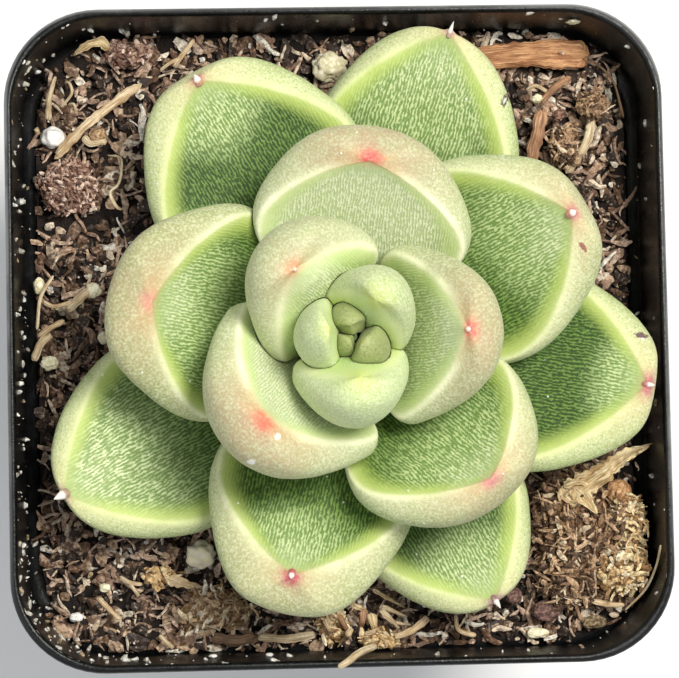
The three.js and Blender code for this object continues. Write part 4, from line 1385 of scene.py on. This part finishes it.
wood = grainy("orangeWood", "8e5a36", "d8a272", "f2cfa2", relief=0.12)
strawTan = grainy("strawTan", "ac8a5e", "efd8b2", "fff6e2", 0.55, 0.12)
paperTan = grainy("paperTan", "ac8856", "fbe6b6", "fffae2", 0.6, 0.25, 5.0)
twigPale = grainy("twigPale", "a88c66", "ead8b4", "fff6e0", 0.6, 0.1)
twigBrown = grainy("twigBrown", "54402f", "86684e", "b29276", 0.75)
barkRed = grainy("barkRed", "7c563c", "c2946e", "eac6a4", 0.7, 0.1)
barkBrown = crumbly("barkBrown", "3a281c", "8a6849", "cda883")
pinkPeat = crumbly("pinkPeat", "4c342a", "a47c68", "dcb8a2")
tanPith = crumbly("tanPith", "8a6848", "d6b48a", "f8e6c4")
creamPith = crumbly("creamPith", "b08654", "ecd0a0", "fff4da")
greyChunk = crumbly("greyChunk", "5e4e3c", "a8916c", "d2bd98")
knobOrange = crumbly("knobOrange", "90643e", "d4a576", "f2d6aa")
pebblePurple = crumbly("pebblePurple", "4c3631", "8e6c62", "c2a496", relief=0.1)
perliteWhite = crumbly("perliteWhite", "eae8e2", "fdfcf8", "ffffff", 0.8, 0.05, 0.8)
perliteCream = crumbly("perliteCream", "d2c89e", "f2ecd0", "fffae8", 0.8, 0.05, 0.8)
perliteIvory = crumbly("perliteIvory", "f8ecc4", "fff8dc", "fffdf0", 0.8, 0.05, 0.8)

sticks = {  # seed, material, width, thickness and route; the source's own solids come first
    "woodChip": (3, wood, 2.45, 1.0, [(12.8, 24.5, 43.3), (17.6, 24.85, 43.25), (22.5, 24.7, 43.15)],
                 {"ends": (0.8, 1.0), "blunt": 5.0, "groove": 0.14, "ragged": 0.5, "taper": 22, "sides": 56,
                 "rings": 90, "fray": 0.12, "crumple": 0.12, "up": (0, -0.12, 1), "slot": "orange_wood",
                 "nodes": ["wood_chip"]}),
    "strawLeft": (5, strawTan, 0.8, 0.45, [(-24.1, 16.4, 43.1), (-20.9, 19.4, 43.9), (-16.8, 22.5, 43.4)],
                  {"ragged": 0.6, "fray": 0.25, "joints": (0.22, 0.5, 0.8), "nodes": ["straw_left"]}),
    "strawRight": (7, twigPale, 0.85, 0.6, [(20.6, 14.4, 43.1), (22.3, 16.8, 43.6), (23.0, 19.2, 43.0)],
                   {"joints": (0.7,), "fray": 0.25, "nodes": ["straw_right"]}),
    "strawFront": (9, twigPale, 0.66, 0.5, [(-7.3, -25.7, 43.3), (-4.8, -25.9, 43.6), (-2.4, -25.6, 43.3)],
                   {"joints": (0.03, 0.97), "fray": 0.2, "nodes": ["straw_front"]}),
    "strawUpright": (11, twigPale, 0.65, 0.35, [(-24.7, 19.5, 43.8), (-24.5, 21.4, 44.6),
                     (-24.0, 23.2, 44.2)], {"fray": 0.3, "ends": (1.0, 0.5)}),
    "hookLeft": (12, twigPale, 0.25, 0.2, [(-23.5, 20.5, 44.3), (-22.6, 21.6, 44.7), (-22.7, 22.4, 44.7),
                 (-23.1, 22.8, 44.2)], {"sides": 10}),
    "hookSmall": (14, twigPale, 0.25, 0.2, [(-22.9, 20.8, 44.0), (-22.4, 20.7, 44.4), (-22.2, 19.9, 44.1)],
                  {"sides": 10}),
    "paperBack": (16, paperTan, 1.1, 0.18, [(-22.3, 25.1, 44.4), (-21.2, 25.7, 45.2), (-20.1, 26.0, 45.3),
                  (-19.4, 25.6, 44.6)], {"fray": 0.5, "crumple": 0.3, "ends": (0.3, 1.0)}),
    "twigBack": (13, strawTan, 0.4, 0.32, [(-13.7, 24.0, 43.8), (-12.8, 25.1, 44.4), (-11.9, 26.2, 44.6)],
                 {}),
    "twigBackFork": (18, strawTan, 0.3, 0.25, [(-14.9, 23.7, 43.8), (-14.0, 24.3, 44.2),
                     (-13.2, 24.7, 44.1)], {"sides": 10}),
    "rootBackLeft": (20, twigPale, 0.2, 0.18, [(-19.6, 16.3, 44.0), (-18.4, 15.9, 44.4), (-18.6, 13.9, 44.4),
                     (-19.4, 13.0, 44.3), (-18.9, 11.8, 44.4), (-18.4, 11.5, 44.1)], {"sides": 10,
                     "ends": (0.7, 1.5)}),
    "crumbFlake": (22, twigPale, 0.65, 0.25, [(-21.7, 17.9, 43.9), (-21.0, 17.4, 44.1), (-19.7, 17.6, 43.9)],
                   {"fray": 0.5}),
    "barkStrip": (15, barkRed, 1.15, 0.5, [(17.4, 15.2, 43.4), (18.0, 17.6, 44.0), (18.5, 19.7, 43.8)],
                  {"blunt": 4.0, "fray": 0.35, "crumple": 0.2, "ragged": 0.5, "slot": "coarse_bark"}),
    "stickBackRight": (24, barkRed, 0.6, 0.4, [(18.4, 20.5, 44.0), (19.6, 21.7, 44.4), (21.0, 22.5, 44.2)],
                       {"fray": 0.3}),
    "rootBackRight": (26, twigPale, 0.34, 0.3, [(17.1, 21.5, 44.0), (17.9, 21.8, 44.4), (18.9, 21.3, 44.2)],
                      {"sides": 10}),
    "wireBackRight": (28, twigBrown, 0.24, 0.22, [(22.5, 24.4, 43.9), (24.0, 23.1, 44.3), (24.9, 21.9, 44.0),
                      (25.7, 19.0, 43.6)], {"sides": 8}),
    "paperRight": (17, paperTan, 2.7, 0.18, [(19.6, -14.1, 45.2), (21.2, -13.0, 45.7), (23.0, -11.9, 45.6),
                   (24.5, -10.8, 45.4), (26.4, -10.0, 45.6)], {"fray": 0.55, "crumple": 0.7,
                   "ends": (0.95, 0.25), "sides": 44, "rings": 90, "ragged": 0.5}),
    "paperFlap": (30, paperTan, 1.9, 0.18, [(20.3, -13.4, 45.5), (21.2, -14.4, 45.7), (21.9, -15.4, 45.7)],
                  {"fray": 0.4, "crumple": 0.4, "ends": (1.0, 0.2), "sides": 32}),
    "paperHook": (32, paperTan, 0.5, 0.2, [(19.4, -13.2, 45.6), (20.6, -12.9, 46.0), (21.5, -13.3, 45.8)],
                  {"fray": 0.4}),
    "rootCorner": (21, twigPale, 0.22, 0.2, [(26.9, -18.3, 49.3), (26.8, -20.2, 47.4), (26.1, -22.3, 45.6),
                   (24.5, -24.1, 44.4)], {"rings": 80, "sides": 10, "ragged": 0.0}),
    "strawCorner": (34, strawTan, 0.45, 0.3, [(21.6, -23.2, 44.6), (23.0, -23.5, 44.7), (24.4, -23.6, 44.5)],
                    {"fray": 0.3}),
    "stickWall": (23, twigPale, 0.6, 0.45, [(-0.7, -27.9, 50.27), (0.2, -27.35, 50.2), (1.2, -26.8, 49.0),
                  (2.7, -26.5, 46.2)], {}),
    "strawPointing": (25, strawTan, 0.85, 0.3, [(4.4, -25.9, 44.9), (6.0, -25.3, 44.9), (7.4, -24.3, 44.4)],
                      {"blunt": 4.0, "ends": (0.6, 0.9), "fray": 0.2}),
    "rootFrontRight": (36, strawTan, 0.4, 0.35, [(9.8, -24.0, 44.0), (10.0, -25.4, 44.4),
                       (11.5, -26.0, 44.2)], {"ends": (0.7, 1.3), "sides": 10}),
    "forkLeft": (27, twigPale, 0.34, 0.28, [(-19.1, -20.2, 44.0), (-18.2, -20.7, 44.4),
                 (-17.2, -20.9, 44.1)], {"sides": 10}),
    "forkLeftEnd": (38, twigPale, 0.3, 0.26, [(-18.3, -20.7, 44.3), (-17.9, -21.3, 44.3),
                    (-17.5, -21.9, 44.0)], {"sides": 10}),
    "strawEnd": (29, strawTan, 1.2, 0.35, [(-14.8, -20.5, 44.3), (-13.5, -20.9, 44.6), (-12.2, -21.2, 44.3)],
                 {"ends": (1.0, 0.3), "fray": 0.4, "crumple": 0.2}),
    "strawFlat": (31, twigBrown, 0.9, 0.4, [(-11.2, -25.6, 43.6), (-9.3, -25.9, 44.1), (-7.6, -25.6, 43.8)],
                  {"fray": 0.3}),
    "strawNearLeft": (40, strawTan, 0.48, 0.4, [(-21.0, -22.0, 43.9), (-20.2, -22.8, 44.3),
                      (-19.1, -23.9, 44.0)], {"fray": 0.3}),
    "thinNearLeft": (42, twigPale, 0.34, 0.28, [(-15.8, -25.3, 44.0), (-15.1, -26.0, 44.3),
                     (-14.6, -26.4, 44.2)], {"sides": 10}),
    "rootWallLeft": (44, twigPale, 0.3, 0.26, [(-24.4, 5.9, 44.3), (-25.5, 3.9, 44.8), (-25.9, 1.2, 44.2)],
                     {"sides": 10}),
    "strawCurlLeft": (46, twigPale, 0.65, 0.35, [(-24.8, 0.8, 44.0), (-25.6, -0.1, 44.5),
                      (-26.2, -1.4, 44.2)], {"fray": 0.2}),
    "strawYellow": (48, strawTan, 0.42, 0.3, [(-25.3, 3.6, 44.2), (-24.5, 3.2, 44.4), (-23.7, 3.3, 44.5),
                    (-22.8, 3.6, 44.2)], {}),
    "stickPaleLeft": (50, twigPale, 0.8, 0.5, [(-23.2, 2.9, 44.1), (-22.1, 3.9, 44.5), (-21.2, 4.7, 44.3)],
                      {"fray": 0.3}),
    "strawMidLeft": (52, strawTan, 0.5, 0.35, [(-25.7, 0.6, 44.2), (-24.7, 1.3, 44.6), (-23.6, 1.9, 44.2)],
                     {"fray": 0.3}),
}
shardTips = [  # the broken straw below the leaf at the front: two ends of each shard and its width
    ((2.7, -21.8), (5.4, -23.4), 0.5), ((3.3, -23.5), (4.9, -25.2), 0.75), ((1.8, -23.5), (1.5, -25.5), 0.7),
    ((0.7, -25.0), (0.1, -26.2), 0.7), ((2.5, -23.9), (2.9, -25.8), 0.95), ((3.4, -23.2), (5.6, -24.2), 0.5),
    ((-0.3, -23.9), (0.6, -25.6), 0.6), ((-1.6, -24.2), (-0.9, -25.9), 0.5),
    ((0.9, -23.0), (2.2, -23.7), 0.6), ((4.1, -24.6), (5.9, -24.9), 0.4),
    ((-1.9, -25.2), (-0.2, -25.2), 0.45), ((1.9, -25.6), (3.6, -25.0), 0.5),
]
shardShape = {"blunt": 3.0, "fray": 0.4, "crumple": 0.2, "ends": (0.9, 0.35), "sides": 16, "rings": 30}
shardMaterials = (strawTan, paperTan, twigPale, barkRed)
for number, ((x1, y1), (x2, y2), width) in enumerate(shardTips, 1):
    low, high = 43.7 + 0.13 * (number % 4), 44.5 + 0.17 * (number % 5)
    shardRoute = [(x1, y1, high - 0.3), ((x1 + x2) / 2, (y1 + y2) / 2, high), (x2, y2, low)]
    sticks["shard%02d" % number] = (60 + number, shardMaterials[number % 4], width, 0.2, shardRoute,
                                    shardShape)
lumps = {  # seed, material, place, size, and what else is its own
    "barkLump": (4, barkBrown, (21.1, -18.1, 43.0), (8.6, 11.4, 5.2), {"swell": 0.3, "roughness": 0.4,
                 "fineness": 6, "nodes": ["bark_lump"]}),
    "beigeLump": (6, perliteCream, (-0.1, 23.9, 42.9), (3.2, 2.6, 2.2), {"roughness": 0.35,
                  "slot": "pale_grain", "nodes": ["beige_lump"]}),
    "perliteLeft": (8, perliteWhite, (-24.4, 18.0, 43.1), (2.05, 1.85, 1.9), {"facets": 0.1,
                    "roughness": 0.06, "slot": "white_perlite", "nodes": ["perlite_left"]}),
    "perliteFront": (10, perliteIvory, (-12.1, -18.5, 43.4), (2.6, 2.3, 2.2), {"facets": 0.12,
                     "roughness": 0.06, "slot": "white_perlite", "nodes": ["perlite_front"]}),
    "brownLump": (12, pinkPeat, (-23.1, 13.6, 42.6), (4.7, 4.5, 3.0), {"swell": 0.2, "roughness": 0.4,
                  "nodes": ["brown_lump"]}),
    "knobRight": (14, knobOrange, (24.2, -13.7, 44.9), (2.1, 2.1, 1.7), {"roughness": 0.25}),
    "rimRight": (56, tanPith, (25.0, -16.7, 44.6), (2.5, 5.0, 1.9), {"roughness": 0.5}),
    "creamPatch": (16, creamPith, (24.3, -20.5, 45.0), (3.9, 3.6, 1.9), {"roughness": 0.5}),
    "chunkCorner": (18, greyChunk, (21.9, -25.1, 43.9), (2.1, 1.0, 1.0), {"facets": 0.4}),
    "flakeCorner": (20, perliteCream, (16.9, -25.9, 43.9), (1.7, 0.9, 0.5), {"facets": 0.3,
                    "slot": "pale_grain"}),
    "pebbleCorner": (58, pebblePurple, (17.8, -24.0, 43.8), (2.4, 1.8, 1.4), {"roughness": 0.15}),
    "pebbleNear": (60, pebblePurple, (14.9, -22.6, 43.8), (1.5, 1.4, 1.2), {"roughness": 0.15}),
    "flakeWall": (62, perliteCream, (20.9, 26.85, 47.4), (1.2, 0.4, 1.3), {"facets": 0.3,
                  "slot": "pale_grain"}),
    "dropWallLeft": (64, perliteWhite, (-11.2, -27.0, 46.4), (0.7, 0.35, 0.8), {"slot": "pale_grain"}),
    "dropWallRight": (66, perliteWhite, (-6.4, -27.0, 46.4), (0.65, 0.35, 0.7), {"slot": "pale_grain"}),
    "tanClumpLeft": (22, knobOrange, (-15.7, -20.2, 43.4), (2.6, 1.5, 1.6), {"roughness": 0.6,
                     "slot": "potting_mix"}),
    "tanClumpFront": (24, tanPith, (-10.9, -23.3, 43.0), (5.2, 3.2, 1.9), {"swell": 0.5, "roughness": 0.6,
                      "slot": "potting_mix"}),
    "clumpFront": (26, tanPith, (-0.9, -24.8, 43.4), (2.4, 2.4, 1.5), {"roughness": 0.6,
                   "slot": "potting_mix"}),
    "crescentFront": (68, creamPith, (3.1, -26.1, 44.3), (2.9, 1.2, 1.3), {"swell": 0.4, "roughness": 0.6,
                      "slot": "potting_mix"}),
    "beadFront": (70, perliteWhite, (7.2, -23.2, 44.1), (0.65, 0.45, 0.5), {"slot": "pale_grain"}),
    "crumbLeft": (28, tanPith, (-20.4, 18.1, 43.8), (1.5, 1.1, 0.9), {"roughness": 0.4,
                  "slot": "pale_grain"}),
    "clodBack": (72, pinkPeat, (-17.7, 25.2, 43.6), (3.6, 1.8, 1.7), {"swell": 0.4, "roughness": 0.6,
                 "slot": "potting_mix"}),
    "clodRight": (74, barkBrown, (20.4, 16.7, 43.4), (2.6, 3.4, 1.8), {"swell": 0.4, "roughness": 0.6,
                  "slot": "potting_mix"}),
    "clodFarRight": (76, tanPith, (22.9, 20.2, 43.4), (2.4, 2.2, 1.7), {"swell": 0.4, "roughness": 0.6,
                     "slot": "potting_mix"}),
    "pebbleRight": (78, pinkPeat, (20.0, 19.3, 44.1), (1.2, 0.95, 0.8), {"roughness": 0.2,
                    "slot": "pale_grain"}),
    "creamRight": (80, perliteCream, (18.0, 20.7, 44.2), (0.9, 0.8, 0.6), {"facets": 0.3,
                   "slot": "pale_grain"}),
    "pithLeft": (82, perliteCream, (-21.0, 4.5, 44.2), (1.3, 1.3, 0.9), {"facets": 0.4,
                 "slot": "pale_grain"}),
    "pithLowLeft": (84, perliteCream, (-24.9, -1.7, 44.0), (1.5, 1.2, 0.8), {"facets": 0.4,
                    "slot": "pale_grain"}),
    "pebbleLeft": (86, perliteCream, (-20.2, 0.4, 44.0), (0.95, 1.15, 0.8), {"roughness": 0.1,
                   "slot": "pale_grain"}),
    "ovalLeft": (88, perliteCream, (-25.7, 5.0, 44.0), (0.95, 1.4, 0.9), {"roughness": 0.1,
                 "slot": "pale_grain"}),
    "grainNearLeft": (90, perliteCream, (-20.4, -21.1, 44.1), (0.95, 0.8, 0.7), {"roughness": 0.1,
                      "slot": "pale_grain"}),
    "chunkNearLeft": (92, perliteWhite, (-22.9, -23.6, 43.9), (1.2, 0.8, 0.8), {"facets": 0.3,
                      "slot": "pale_grain"}),
}
bits = {}
for name, (seed, material, width, thick, route, own) in sticks.items():
    values = {"seed": seed, "width": width, "thick": thick, "route": route, "slot": "dry_straw", **own}
    bits[name] = makeStick(name, values, material)
    addPiece(bits[name], values["slot"], *values.get("nodes", ()))
for name, (seed, material, place, size, own) in lumps.items():
    values = {"seed": seed, "place": place, "size": size, "slot": "coarse_bark", **own}
    bits[name] = makeLump(name, values, material)
    addPiece(bits[name], values["slot"], *values.get("nodes", ()))

paleCurls = {0.24: "9c764a", 0.5: "e0bc86", 0.85: "f5dcaa", 1.0: "ffefcc"}
tanCurls = {0.25: "94724e", 0.55: "d4b28a", 0.85: "f0d8b2", 1.0: "fff2da"}
brownCurls = {0.3: "5f4634", 0.6: "a58263", 0.88: "d2ae88", 1.0: "f0dab8"}
pinkCurls = {0.35: "8a6656", 0.75: "c4a08c", 1.0: "efd4c2"}
fibreNames = ("Density", "Seed", "Shortest", "Longest", "Thinnest", "Thickest", "Tilt", "Curl", "Lift",
              "colours")
fibres = {  # the loose fibres on the coarse lumps
    "barkLump": (4.0, 61, 0.8, 3.0, 0.07, 0.28, 1.0, 1.5, 0.15, brownCurls),
    "rimRight": (9.0, 63, 0.8, 2.2, 0.08, 0.26, 1.2, 1.4, 0.15, paleCurls),
    "creamPatch": (9.0, 65, 0.8, 2.2, 0.12, 0.36, 1.2, 1.5, 0.2, paleCurls),
    "brownLump": (12.0, 71, 0.5, 1.3, 0.07, 0.2, 1.3, 0.7, 0.15, pinkCurls),
    "tanClumpFront": (6.0, 81, 0.7, 2.4, 0.08, 0.3, 1.0, 1.2, 0.15, tanCurls),
    "tanClumpLeft": (7.0, 87, 0.5, 1.5, 0.08, 0.3, 0.9, 0.9, 0.1, paleCurls),
    "clumpFront": (7.0, 89, 0.6, 1.8, 0.08, 0.26, 1.0, 1.1, 0.1, paleCurls),
    "crescentFront": (9.0, 93, 0.5, 1.2, 0.1, 0.26, 1.2, 0.8, 0.1, paleCurls),
    "clodBack": (8.0, 95, 0.5, 1.6, 0.1, 0.34, 1.2, 0.9, 0.1, pinkCurls),
    "clodRight": (7.0, 97, 0.5, 1.6, 0.1, 0.32, 1.2, 0.9, 0.1, brownCurls),
    "clodFarRight": (8.0, 99, 0.5, 1.6, 0.08, 0.24, 1.2, 0.9, 0.1, brownCurls),
}
nearWall = ("rimRight", "creamPatch")


def upperSide(centre, normal):
    return 1.0 if normal.z > 0.05 and centre.z > ledgeHeight else 0.0


tufts = []
for name, row in fibres.items():
    patch = patchOf(bits[name].data, upperSide)
    values = {**dict(zip(fibreNames, row)), "Points": 6, "Wall": 26.5 if name in nearWall else 26.75}
    values["Material"] = tinted(name + "Fibres", values["colours"])
    tufts.append(grow(name + "Tuft", growStrands, values, patch))
settle(tufts)
for tuft in tufts:
    addPiece(tuft, "coarse_bark")
print("loose bits made:", len(bits) + len(tufts))
